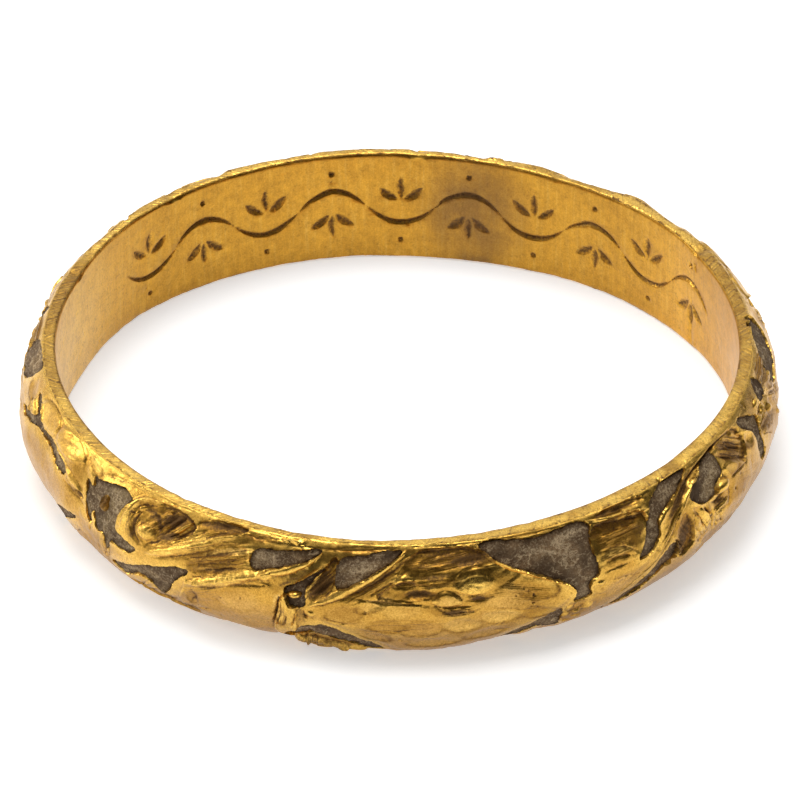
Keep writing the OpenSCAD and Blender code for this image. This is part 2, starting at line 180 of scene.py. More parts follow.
# Broad leaves that stand a little proud: rise in mm, width of their rounded edge in mm, outline
LEAVES = (
    (0.035, 0.3, (188.5, 0.5, 193.5, 0.6, 197.5, 0.76, 204, 0.7, 206.5, 0.54, 210, 0.46, 215.6, 0.18,
        216.4, -0.15, 213.5, -0.3, 208, -0.3, 205, -0.55, 202, -1, 196, -1.2, 190, -0.8, 186, -0.2,
        185.5, 0.3)),
    (0.03, 0.3, (238, 0.05, 241, 0, 246, 0.4, 250.6, 0.55, 252.4, 0.3, 252.6, -0.2, 250.6, -1.1, 247, -1.45,
        240.4, -1.3, 238.4, -0.7)),
    (0.035, 0.25, (257.2, -0.05, 262, 0.42, 266, 0.42, 275, 0.2, 280, 0, 286, 0.6, 289, 0.75, 296.8, 0,
        296, -0.35, 290, -0.85, 284.6, -1.4, 270, -1.5, 267.6, -1.1, 263, -0.62, 258.6, -0.4)),
    (0.03, 0.25, (300.4, -0.3, 302, 0.1, 308, 0.05, 311, 0, 313.6, 0.6, 316, 0.7, 316, 0.35, 312, -0.25,
        308, -0.6, 303, -1.25, 301, -0.9)),
    (0.035, 0.3, (330, -0.4, 330, 0.5, 336.8, 0.42, 338.6, 1, 341, 0.8, 341.6, 0.1, 342.4, -0.3, 339, -0.6)),
    (0.04, 0.1, (195, 1.02, 194.8, 1.3, 196.5, 1.5, 200, 1.56, 203.4, 1.46, 203.2, 1.06, 199, 1)),
    (0.045, 0.1, (203.4, 1.05, 203.6, 1.46, 207, 1.56, 210.4, 1.57, 212.8, 1.42, 213, 1.2, 209, 1)),
    (0.1, 0.06, (251, -1.15, 252.1, -0.4, 253, 0.28, 254.2, 0.34, 255.2, -0.1, 255.5, -0.5, 254.9, -1,
        254, -1.3)),
    (0.06, 0.09, (274.7, 0.3, 275.6, 0.5, 277, 0.57, 278.6, 0.48, 280.1, 0.2, 278.5, 0.13, 276, 0.13)),
    (0.05, 0.11, (278.3, 0.58, 279.4, 0.8, 281, 0.93, 283.4, 0.87, 284.6, 0.62, 283.4, 0.4, 280.6, 0.37,
        279.2, 0.43)),
    (0.04, 0.1, (268.6, 0.8, 270, 1, 271.8, 0.98, 273, 0.84, 271, 0.74)),
    (0.05, 0.08, (191, 0.66, 191.2, 0.95, 192.6, 1.2, 193.8, 1.08, 195, 0.96, 193.4, 0.8)),
)

# Swells and dents with soft edges: angle, height, half length, half width, turn in degrees, rise in mm
SWELLS = (
    (200, 0.1, 1.2, 0.5, 0, 0.02), (246, -0.4, 0.9, 0.5, 10, 0.02), (274, -0.6, 1.6, 0.5, 0, 0.02),
    (336, 0.1, 0.9, 0.5, 0, 0.02), (244, -1.5, 0.9, 0.3, 0, -0.08), (252.5, -1.45, 0.35, 0.35, 0, -0.08),
    (287, -1.5, 0.4, 0.3, 0, -0.08), (293, -1.45, 0.4, 0.35, 0, -0.07), (304, -1.4, 0.5, 0.35, 0, -0.06),
)

# Tool marks: width and depth in mm, the depth below 0 for a ridge, and the line
MARKS = (
    # petals and small leaf at the left
    (0.05, 0.04, (193.2, 1.22, 194.2, 1.1, 195, 0.98)), (0.05, 0.035, (191.6, 1.08, 192.8, 0.98, 194, 0.86)),
    (0.05, 0.03, (190.6, 0.94, 191.8, 0.86, 193, 0.74)), (0.06, 0.05, (194.4, 1.42, 198, 1.57, 203, 1.5)),
    (0.08, 0.018, (196.6, 1.16, 199.2, 1.4, 202.2, 1.5)),
    (0.06, 0.018, (198.6, 1.05, 201.5, 1.28, 205.5, 1.42)),
    (0.06, 0.018, (203.2, 1.02, 203, 1.25, 203.6, 1.47)), (0.06, 0.025, (199.5, 0.99, 204, 1.14, 210, 1.38)),
    (0.05, 0.025, (201.5, 1, 206, 1.06, 211.5, 1.22)), (0.05, 0.025, (204.4, 1.25, 207, 1.46, 210.5, 1.55)),
    (0.05, 0.02, (206, 1.2, 208.6, 1.34, 211.6, 1.42)), (0.06, 0.018, (209.6, 1.57, 212, 1.5, 213.3, 1.22)),
    (0.05, 0.03, (204, 1.03, 209, 0.95, 213, 0.78)), (0.1, -0.05, (195, 1.32, 196.2, 1.16, 198, 1.02)),
    (0.1, -0.05, (209.3, 0.84, 211.8, 0.68, 214.3, 0.52)),
    (0.12, -0.045, (213.6, 1.5, 215.4, 1.42, 217.5, 1.33)),
    (0.12, -0.03, (213.9, 1.25, 215, 1.2, 215.8, 1.12)),
    (0.05, 0.05, (208.6, 0.57, 211, 0.49, 213.5, 0.36, 216, 0.2)),
    (0.1, 0.1, (212.3, 0.5, 213.5, 0.5, 214.8, 0.42)),
    # claws under the great grey cell
    (0.05, 0.06, (217.3, -0.1, 217.1, -0.22, 216.8, -0.34)),
    (0.05, 0.05, (219.3, -0.1, 218.9, -0.5, 218, -0.95)),
    (0.05, 0.05, (221, -0.4, 220.4, -0.68, 219.6, -0.88)),
    (0.05, 0.05, (222.3, -0.1, 222, -0.5, 221, -0.78)),
    # edge of the bright band under the rim
    (0.045, 0.03, (216.4, 1.26, 219, 1.42, 222, 1.51, 228, 1.55, 234, 1.54, 240, 1.57)),
    (0.04, 0.03, (244, 1.53, 248, 1.42, 252, 1.4, 256, 1.45, 262, 1.46, 267, 1.5, 271, 1.57)),
    (0.04, 0.03, (271, 1.56, 275, 1.58, 279, 1.54, 282, 1.55)),
    (0.045, 0.04, (301, 1.5, 306, 1.48, 311, 1.5, 314, 1.55)),
    # fan of strokes below the rim
    (0.05, 0.035, (249.8, 1.585, 250.6, 1.5, 251.6, 1.42)), (0.05, 0.035, (251, 1.585, 252, 1.5, 253, 1.42)),
    (0.05, 0.035, (252.4, 1.585, 253.4, 1.5, 254.6, 1.43)),
    (0.05, 0.035, (253.8, 1.585, 254.8, 1.52, 256, 1.46)),
    # volute
    (0.1, -0.075, (224.4, 0.4, 225.1, 0.85, 225.9, 1.25, 228, 1.41, 232.4, 1.47)),
    (0.09, 0.15, (227.8, 1.16, 226.7, 0.85, 227.4, 0.52, 229.4, 0.36)),
    (0.1, 0.09, (227.6, 1.2, 230, 1.26, 231.6, 1.05, 231.8, 0.72)),
    (0.06, 0.1, (230.8, 0.85, 232.8, 1.18, 234.2, 1.42)), (0.08, 0.16, (232.2, 0.8, 234, 1.15, 235.4, 1.42)),
    (0.06, 0.08, (229.6, 0.44, 231.5, 0.58, 233, 0.8)),
    (0.06, -0.1, (233.6, 0.88, 235.2, 1.12, 236.9, 1.37)),
    (0.06, 0.08, (234.6, 0.88, 236.4, 1.1, 238.2, 1.36)), (0.05, 0.05, (235.8, 0.86, 238, 1.1, 240.4, 1.36)),
    # fluted leaf
    (0.12, -0.075, (229.8, 0.22, 233.5, 0.46, 237.5, 0.86, 240.4, 1.08)),
    (0.05, 0.06, (230.8, 0.12, 235, 0.42, 240, 0.86, 244, 1.12)),
    (0.1, -0.06, (236, 0.74, 240.6, 1.12, 246.4, 1.5)), (0.06, 0.07, (238, 0.94, 241.4, 1.26, 244.5, 1.43)),
    (0.07, 0.06, (236, 0.46, 242, 0.84, 249, 1.27)), (0.06, 0.05, (237.2, 0.36, 243, 0.68, 247.5, 0.98)),
    (0.06, 0.045, (238.2, 0.22, 243, 0.5, 247.6, 0.72)), (0.05, 0.04, (240.6, 1, 244.5, 1.2, 248, 1.33)),
    (0.07, -0.03, (237.4, 0.46, 242.5, 0.77, 247, 1.05)),
    (0.09, 0.05, (240.2, 1.44, 242.6, 1.5, 245.2, 1.56)),
    # foot of the fluted leaf and the long ridge
    (0.2, -0.08, (237.6, -0.16, 240.6, 0.06, 244, 0.34, 247.4, 0.56, 250.4, 0.68)),
    (0.05, 0.05, (237.6, 0.1, 240, 0.15, 243, 0.34, 247.6, 0.66)),
    (0.12, -0.12, (249.4, 0.67, 253, 0.86, 256, 1.1, 258.6, 1.4)),
    (0.05, 0.05, (238.6, -0.3, 241, -0.1, 243, 0.02)), (0.05, 0.04, (244, 0.1, 247, 0.3, 251, 0.45)),
    (0.05, -0.04, (237.9, 0.05, 236.8, -0.5, 234.8, -1)),
    (0.08, 0.05, (239.4, -0.35, 238.4, -0.7, 236.6, -1)),
    (0.05, 0.07, (238.8, -1.02, 240, -0.95, 241.6, -0.85)),
    (0.06, 0.06, (229.6, -0.8, 227.6, -1.12, 225.6, -1.45)),
    (0.06, 0.06, (231, -1, 229.4, -1.24, 227.8, -1.5)), (0.06, 0.06, (233, -1.05, 231.6, -1.28, 230, -1.5)),
    (0.05, 0.05, (235, -0.98, 233.8, -1.22, 232.4, -1.5)),
    (0.1, 0.1, (237.4, -1.1, 236.4, -1.3, 235.2, -1.5)),
    # lobe beside the arch
    (0.045, 0.1, (253.3, 0.3, 253, -0.2, 251.8, -0.9)),
    (0.045, 0.09, (252.7, 0.2, 252.3, -0.3, 251.2, -0.85)),
    (0.045, 0.09, (254, -0.14, 253.7, -0.5, 252.8, -0.85)),
    (0.045, 0.1, (255, -0.12, 255, -0.4, 254.2, -0.75)),
    (0.06, 0.07, (256.4, -0.1, 256.2, -0.25, 257, -0.4)),
    # dark flutes beside the sail
    (0.05, -0.07, (253.2, 0.36, 255.4, 0.62, 258.4, 1.02, 260.2, 1.24)),
    (0.09, 0.09, (256.6, 0.38, 258.6, 0.75, 260.6, 1.15)),
    (0.08, 0.09, (257.4, 0.22, 259.4, 0.55, 260.9, 0.85)), (0.05, -0.04, (257, 0.3, 259, 0.66, 260.8, 1.02)),
    (0.06, 0.06, (258.2, 0.16, 260, 0.4, 262.4, 0.62)),
    (0.14, -0.13, (256.8, 0.02, 261, 0.42, 266, 0.95, 269, 1.25, 271.6, 1.52)),
    (0.1, 0.1, (262.6, 0.42, 266.6, 0.78, 270.4, 1.2, 272, 1.42)),
    (0.06, 0.06, (266, 0.5, 269, 0.8, 271.2, 1.05)),
    # broad leaf in front: folds and scales
    (0.1, -0.035, (268.6, 0.86, 270.6, 0.96, 272.8, 0.86)), (0.12, 0.06, (271.8, 0.98, 275, 0.9, 279, 0.95)),
    (0.08, -0.015, (270.4, 0.76, 274.5, 0.73, 278.8, 0.82)),
    (0.17, 0.07, (270.8, 0.47, 273, 0.54, 275.4, 0.5)),
    (0.05, -0.05, (271.5, 0.375, 272.8, 0.385, 274, 0.38)),
    (0.06, 0.06, (263, 0.4, 268, 0.33, 271.5, 0.25, 274.8, 0.26)),
    (0.14, 0.04, (273, 1.2, 277, 1.32, 281.5, 1.44)), (0.12, 0.02, (274.5, 1.07, 279, 1.15, 283.5, 1.28)),
    (0.04, 0.03, (273.5, 1.3, 277.5, 1.42, 281.5, 1.5)), (0.04, 0.03, (276, 1.14, 280, 1.24, 283.8, 1.36)),
    (0.05, 0.06, (275.1, 0.3, 276.2, 0.06, 278, -0.16, 280.5, -0.13, 283.4, 0.06)),
    (0.04, 0.05, (276, 0.07, 278.4, -0.02, 282, 0.04)),
    (0.04, 0.05, (276.6, -0.02, 278.6, -0.1, 281.6, -0.04)),
    (0.04, 0.05, (275.7, 0.16, 278, 0.07, 281.4, 0.1)), (0.05, 0.03, (275, 0.44, 276.6, 0.62, 278.4, 0.54)),
    (0.08, 0.05, (279.8, 0.28, 282, 0.24, 285, 0.34)),
    (0.05, 0.04, (277.8, 0.62, 279.6, 0.42, 282, 0.34, 285.6, 0.4)),
    (0.045, 0.04, (278.4, 0.8, 279.6, 1.02, 282, 1.08, 285, 1)),
    (0.035, 0.03, (281.5, 0, 286.4, -0.1, 289, -0.3, 293.4, -0.42)),
    (0.035, 0.013, (271.4, -0.35, 272.6, -0.66, 275.2, -0.82, 277.4, -0.66, 278.8, -0.3)),
    (0.035, 0.013, (279, -0.25, 281, -0.55, 282, -0.7)),
    (0.035, 0.013, (266.4, -0.14, 269, -0.2, 273, -0.25, 278, -0.3)),
    (0.035, 0.013, (274.6, -0.88, 278, -1.12, 281, -1.3)),
    (0.045, 0.05, (259.6, -0.3, 262, -0.4, 264.6, -0.4)),
    (0.05, 0.025, (265.2, 0.1, 265.6, -0.1, 266.8, -0.16)),
    (0.05, 0.05, (284.2, -0.88, 285.6, -0.92, 287, -0.86)),
    (0.07, -0.1, (282.2, 1.52, 284.2, 1.22, 286.6, 0.98, 290, 0.74, 293, 0.46, 295.2, 0.26, 297, 0.06)),
    # leaf to the right of the great cell
    (0.08, -0.08, (301.2, 1.47, 305, 1.39, 309, 1.31, 312, 1.25)),
    (0.08, 0.05, (302.4, 1.52, 306, 1.51, 309, 1.47, 311.6, 1.38)),
    (0.08, 0.08, (307.4, 1.25, 308.6, 1.24, 310, 1.17)),
    (0.05, -0.05, (302.2, 1.07, 306, 1.05, 309.8, 1.06)),
    (0.045, 0.05, (301.4, 0.74, 304.2, 0.76, 306.6, 0.62, 308.4, 0.36)),
    (0.035, 0.05, (301.6, 0.4, 304.6, 0.5, 308, 0.34)),
    (0.035, 0.05, (301.2, 0.18, 304.6, 0.22, 308.2, 0.2)),
    (0.035, 0.045, (302.2, -0.08, 305.6, -0.16, 308.8, -0.3)),
    (0.035, 0.03, (300.8, 0.04, 302, -0.12, 301, -0.3)),
    # ridges beside the ribbon
    (0.07, -0.03, (312.4, 0.66, 314.4, 0.94, 317, 1.06)),
    (0.06, -0.08, (316.4, 0.56, 318.2, 0.84, 320, 1.08, 322, 1.25, 324.4, 1.25)),
    (0.05, 0.045, (311.8, 0.18, 314.4, 0.48, 317, 0.92)),
    (0.05, 0.045, (313, 0.04, 315.2, 0.34, 316.8, 0.66)),
    (0.08, 0.1, (317.6, 1.04, 321.6, 1.36, 325.4, 1.44, 331, 1.52, 336.6, 1.46)),
    # claws beside the cup
    (0.1, -0.09, (320, 0.55, 321.4, 0.05, 323.6, -0.5)), (0.05, 0.08, (320.9, 0.52, 322.6, 0, 324.4, -0.45)),
    (0.09, -0.08, (322.1, 0.48, 323.5, 0.1, 324.9, -0.25)),
    (0.05, 0.08, (323, 0.44, 324.4, 0.1, 325.4, -0.35)), (0.06, 0.08, (324.4, 0.42, 326, 0.3, 328.6, 0.4)),
    (0.09, 0.08, (325.6, 0.28, 326.6, 0.32, 327.9, 0.26)),
    (0.05, 0.07, (325.3, 0.02, 327, -0.12, 329.2, -0.06)),
    (0.05, 0.06, (326, -0.2, 327.2, -0.45, 328.8, -0.55)),
    (0.05, 0.07, (329.7, 0.5, 329.9, 0.2, 329.7, -0.25)), (0.045, 0.07, (319.9, 0.5, 320.3, 0, 321.2, -0.5)),
    (0.04, 0.06, (321.8, 0.3, 322.6, -0.2, 323.8, -0.6)), (0.05, 0.08, (324.9, 0.3, 325, -0.1, 326, -0.65)),
    (0.045, 0.07, (326.2, -0.12, 326.6, -0.4, 327.6, -0.75)),
    (0.045, 0.07, (327.4, -0.12, 328, -0.4, 329, -0.65)),
    (0.05, 0.07, (325.2, 0.14, 327.4, 0.13, 329.6, 0.2)),
    (0.05, 0.07, (325.4, -0.1, 327.4, -0.16, 329.8, -0.1)),
    # flutes that fall to the right
    (0.06, 0.08, (330.2, 1.44, 333, 1.18, 336, 0.84)), (0.07, 0.08, (331.6, 1.48, 334.6, 1.22, 337.4, 0.94)),
    (0.05, 0.07, (329.8, 1.26, 332.4, 1.02, 335.2, 0.72)),
    (0.05, 0.06, (333.6, 1.47, 336, 1.24, 338.2, 1.04)),
    (0.06, 0.08, (333.4, 0.92, 335.2, 0.74, 336.9, 0.58)), (0.05, 0.06, (330, 0.58, 334, 0.56, 337, 0.5)),
    (0.05, -0.05, (331, 1.32, 333.8, 1.06, 336, 0.9)), (0.05, -0.05, (337.2, 1.24, 339.4, 1.08, 341, 0.86)),
    (0.05, 0.05, (342.4, 1.58, 342.5, 1.5, 342.4, 1.4)),
    # rough end of the design
    (0.06, 0.06, (343.9, 0.66, 346, 0.58, 348.6, 0.66)), (0.06, 0.06, (346.4, 1.04, 347.4, 0.86, 350, 0.78)),
    (0.05, 0.06, (344.2, 0.46, 346.6, 0.3, 348.6, 0)), (0.05, 0.05, (346, 0.5, 348.6, 0.34, 350.4, 0.06)),
    (0.05, 0.045, (351.4, 1.5, 355, 1.45, 359.5, 1.47)), (0.05, 0.04, (351.6, 1.37, 355, 1.31, 359.5, 1.35)),
    (0.05, 0.05, (351.4, 1.2, 355, 1.12, 359.5, 1.14)), (0.06, 0.05, (351, 0.92, 354, 0.76, 357, 0.5)),
    (0.05, 0.05, (351.6, 0.72, 354, 0.55, 356.4, 0.28)),
    (0.06, 0.06, (355.4, 0.98, 357.6, 0.84, 360.4, 0.6)),
    (0.1, 0.1, (347, -0.82, 352, -0.95, 357, -1.12, 361, -1.22)),
)

# Lumps left between cuts: angle, height, half length, half width, turn in degrees, rise in mm, below 0
# for a dent
LUMPS = (
    (220, 0.8, 0.17, 0.3, 0, 0.36), (220, 0.86, 0.08, 0.14, 0, -0.1), (229.6, 0.76, 0.28, 0.22, 10, 0.09),
    (227.6, 1.22, 0.12, 0.08, 20, 0.06), (232.6, 1.3, 0.1, 0.07, 40, 0.07),
    (238.2, -0.14, 0.2, 0.12, 30, 0.05), (239.5, -0.02, 0.14, 0.12, 10, 0.05),
    (241, 0.1, 0.22, 0.11, 34, 0.06), (242.6, 0.2, 0.14, 0.13, 60, 0.05), (243.8, 0.33, 0.2, 0.12, 22, 0.06),
    (245.4, 0.43, 0.16, 0.13, 24, 0.05), (247, 0.52, 0.22, 0.12, 20, 0.06),
    (248.6, 0.6, 0.14, 0.12, 15, 0.05), (250.2, 0.66, 0.2, 0.12, 10, 0.07),
    (254.9, 0.29, 0.24, 0.12, 8, 0.31), (296.4, -0.62, 0.14, 0.1, 60, 0.06),
    (297.7, -0.9, 0.14, 0.12, 0, 0.06), (299.4, -0.74, 0.15, 0.12, 20, 0.06),
    (298.2, -1.16, 0.16, 0.1, 0, 0.06), (296.1, -0.95, 0.1, 0.12, 0, 0.06),
    (301.2, -0.08, 0.12, 0.08, 0, 0.05), (327.9, 0.6, 0.32, 0.17, 6, 0.2),
    (327.6, 0.08, 0.28, 0.13, 10, 0.06), (331.6, 0.8, 0.36, 0.16, -20, 0.06),
    (345, 0.88, 0.2, 0.13, 10, 0.07), (347.6, 0.96, 0.2, 0.1, 10, 0.06), (345.8, 1.25, 0.18, 0.07, 10, 0.06),
    (349.8, 0.7, 0.2, 0.12, -20, 0.06), (257.4, -0.2, 0.1, 0.1, 0, 0.05), (255.4, -1.3, 0.3, 0.2, 20, 0.12),
    (257.8, -1.26, 0.34, 0.16, -10, 0.13), (258.4, -1.48, 0.4, 0.14, -8, 0.12),
    (260.8, -1.36, 0.36, 0.14, -16, 0.13), (263.2, -1.48, 0.4, 0.12, -10, 0.1),
    (313.9, -0.42, 0.2, 0.12, 30, 0.14), (316, -0.3, 0.16, 0.14, 30, 0.13),
    (353.6, 0.2, 0.24, 0.12, -30, 0.05), (356.2, 1, 0.24, 0.1, 0, 0.04), (253.6, 1.52, 0.3, 0.06, 0, 0.05),
)

# Pits: angle, height, radius and depth in mm
PITS = (
    (289.6, 0.26, 0.05, 0.04), (290.4, 0.1, 0.06, 0.05), (290.2, -0.1, 0.05, 0.04), (291, -0.3, 0.05, 0.04),
    (288.8, 0.36, 0.04, 0.03), (289.9, -0.22, 0.04, 0.03), (294.8, 0.3, 0.05, 0.05),
    (265.4, 0.02, 0.06, 0.02), (243.4, -0.3, 0.04, 0.03), (246.6, -0.12, 0.04, 0.03),
    (256.6, -0.3, 0.06, 0.03), (257.6, -0.36, 0.05, 0.025), (309.2, -0.5, 0.05, 0.04),
    (305.4, -0.6, 0.04, 0.03), (334, -0.1, 0.05, 0.03), (270.5, -0.9, 0.04, 0.03), (215.6, 0.62, 0.06, 0.05),
    (226.4, 1.02, 0.06, 0.06), (331.6, 0.2, 0.06, 0.04), (287.6, 0.2, 0.03, 0.03),
)

# Scoops with crisp edges: angle, height, half length and half width in mm, turn in degrees, depth in mm
SCOOPS = (
    (270.6, 0.08, 0.5, 0.22, 0, 0.018), (273.6, -0.52, 0.62, 0.3, 0, 0.045),
    (266.4, 0.2, 0.5, 0.17, 20, 0.045), (262.4, -0.08, 0.55, 0.26, 10, 0.045),
    (268.4, -0.42, 0.5, 0.24, -6, 0.045), (279.8, -0.5, 0.55, 0.26, 0, 0.045),
    (285.4, 0.1, 0.6, 0.2, -8, 0.018), (290.4, 0.34, 0.6, 0.26, -28, 0.045),
    (285, -0.36, 0.55, 0.22, -6, 0.045), (291.2, -0.42, 0.5, 0.2, -14, 0.045),
    (275.6, -1.05, 0.7, 0.26, 0, 0.045), (283.2, -0.92, 0.55, 0.24, 10, 0.045),
    (266.6, -0.78, 0.5, 0.2, -20, 0.045), (273.2, 0.5, 0.42, 0.12, 0, 0.08),
    (276.8, 1.26, 0.7, 0.15, 6, 0.1), (281.8, 1.22, 0.5, 0.14, 4, 0.1), (273.8, 1.36, 0.42, 0.1, 10, 0.08),
    (275.4, 0.84, 0.5, 0.1, 0, 0.07), (192.4, 0.94, 0.2, 0.14, -50, 0.04), (197.6, 0.3, 0.7, 0.3, -8, 0.018),
    (204.6, 0.2, 0.7, 0.34, -4, 0.018), (211.4, 0.08, 0.6, 0.24, -14, 0.018),
    (216.6, -0.55, 0.5, 0.22, -10, 0.018), (241.4, -0.5, 0.5, 0.34, 20, 0.018),
    (246.4, -0.2, 0.6, 0.3, 14, 0.018), (249.6, -0.8, 0.5, 0.34, 10, 0.018),
    (244.4, -1.05, 0.55, 0.28, 8, 0.018), (243.6, 0.72, 0.9, 0.12, 17, 0.05),
    (243.4, 0.96, 0.8, 0.1, 18, 0.05), (242.4, 0.5, 0.7, 0.09, 16, 0.045),
    (305.8, 1.23, 0.75, 0.13, 0, 0.07), (305.6, 0.9, 0.75, 0.15, -3, 0.05),
    (304.6, 0.6, 0.42, 0.14, -4, 0.04), (305.2, -0.42, 0.6, 0.24, 6, 0.018),
    (309.8, -0.12, 0.5, 0.18, 20, 0.018), (313.8, 0.3, 0.5, 0.14, 38, 0.018),
    (305.6, -0.9, 0.5, 0.2, 14, 0.018), (334, 0.16, 0.55, 0.28, -10, 0.018),
    (338.6, 0.3, 0.45, 0.34, -20, 0.018), (339, 0.86, 0.3, 0.2, -30, 0.05),
    (333.4, -0.38, 0.55, 0.2, -6, 0.018), (333.4, 1.2, 0.62, 0.1, -36, 0.1),
    (335.4, 1.06, 0.55, 0.09, -36, 0.1), (331.6, 1.1, 0.5, 0.09, -36, 0.09),
    (332, 0.76, 0.36, 0.13, -22, 0.05), (347.4, 0.3, 0.4, 0.14, -30, 0.018),
    (355, 1.42, 0.75, 0.1, 0, 0.045), (355.4, 1.22, 0.75, 0.09, 0, 0.045),
    (355, 0.96, 0.6, 0.13, -12, 0.045), (356.4, 0.56, 0.45, 0.13, -20, 0.045),
    (182, 0.4, 0.7, 0.4, 0, 0.045), (185.4, -0.3, 0.8, 0.4, 0, 0.045), (189.6, 1.2, 0.34, 0.3, 0, 0.045),
    (215.4, 1.38, 0.34, 0.14, -18, 0.04), (231.6, -1.25, 0.5, 0.2, 30, 0.07),
    (238.2, -0.6, 0.16, 0.3, -20, 0.07), (252.6, -0.3, 0.14, 0.5, 6, 0.05),
    (230.4, 1.36, 0.5, 0.08, 6, 0.05), (259.6, 0.66, 0.5, 0.12, 44, 0.16), (248.6, 1.46, 0.4, 0.08, 4, 0.05),
    (264.6, 1.5, 0.8, 0.07, 3, 0.04),
)

# Fine parallel tool lines: angle, height, half length, half width, turn in degrees, spacing and depth in mm
HATCHES = (
    (192, 0.9, 0.5, 0.3, -40, 0.09, 0.014), (215, 1.4, 0.7, 0.2, -14, 0.12, 0.011),
    (220, -0.55, 0.8, 0.35, 80, 0.135, 0.023), (226.6, 0.9, 0.3, 0.4, 85, 0.105, 0.016),
    (232, 1.1, 0.7, 0.4, 50, 0.1, 0.03), (238, 0.8, 1, 0.5, 24, 0.12, 0.016),
    (244, 0.8, 1.1, 0.4, 17, 0.112, 0.016), (243, 1.3, 0.9, 0.22, 16, 0.105, 0.018),
    (244, 0.35, 1.2, 0.2, 22, 0.135, 0.016), (253, -0.35, 0.6, 0.25, 82, 0.105, 0.04),
    (258.6, 0.7, 0.7, 0.3, 44, 0.12, 0.028), (266, 0.62, 1, 0.2, 32, 0.105, 0.018),
    (277.6, 1.25, 1.3, 0.25, 6, 0.105, 0.023), (274.6, 0.75, 0.8, 0.16, 2, 0.1, 0.02),
    (278.6, -0.04, 0.6, 0.14, 0, 0.083, 0.025), (289, 0.1, 1, 0.5, -16, 0.135, 0.011),
    (271, -0.6, 1.6, 0.5, 2, 0.18, 0.009), (305.4, 1, 0.85, 0.36, 0, 0.12, 0.008),
    (304.6, 0.5, 0.5, 0.2, 3, 0.09, 0.012), (309, -0.3, 1.2, 0.4, 28, 0.15, 0.011),
    (314.6, 0.45, 0.9, 0.25, 40, 0.12, 0.023), (319.5, 1.2, 0.9, 0.15, 34, 0.105, 0.023),
    (323.6, 0, 0.5, 0.5, -60, 0.15, 0.034), (327.6, 0, 0.4, 0.4, 10, 0.135, 0.018),
    (333.6, 1.1, 0.9, 0.4, -36, 0.128, 0.034), (336, 0.1, 1, 0.5, -20, 0.18, 0.011),
    (346, 0.8, 0.8, 0.5, 10, 0.15, 0.023), (355, 1.3, 1.1, 0.34, 0, 0.112, 0.03),
    (354.6, 0.7, 0.9, 0.4, -24, 0.135, 0.028), (227.6, -1.25, 1, 0.25, 42, 0.135, 0.034),
    (233.4, -1.25, 0.9, 0.25, 44, 0.135, 0.034), (257, -1.2, 0.5, 0.4, 84, 0.12, 0.034),
    (298, -0.9, 0.6, 0.4, 20, 0.15, 0.023), (317.4, -0.05, 0.45, 0.5, -50, 0.11, 0.04),
    (240, -0.3, 0.8, 0.4, 24, 0.15, 0.014), (183, 0.2, 1.4, 0.9, 4, 0.18, 0.014),
    (256, 0.1, 0.4, 0.3, 60, 0.105, 0.023), (330, 1.5, 2.4, 0.1, 0, 0.075, 0.009),
    (288, 1.54, 2.4, 0.06, 0, 0.09, 0.016), (248, 1.5, 1.6, 0.1, 0, 0.09, 0.014),
)

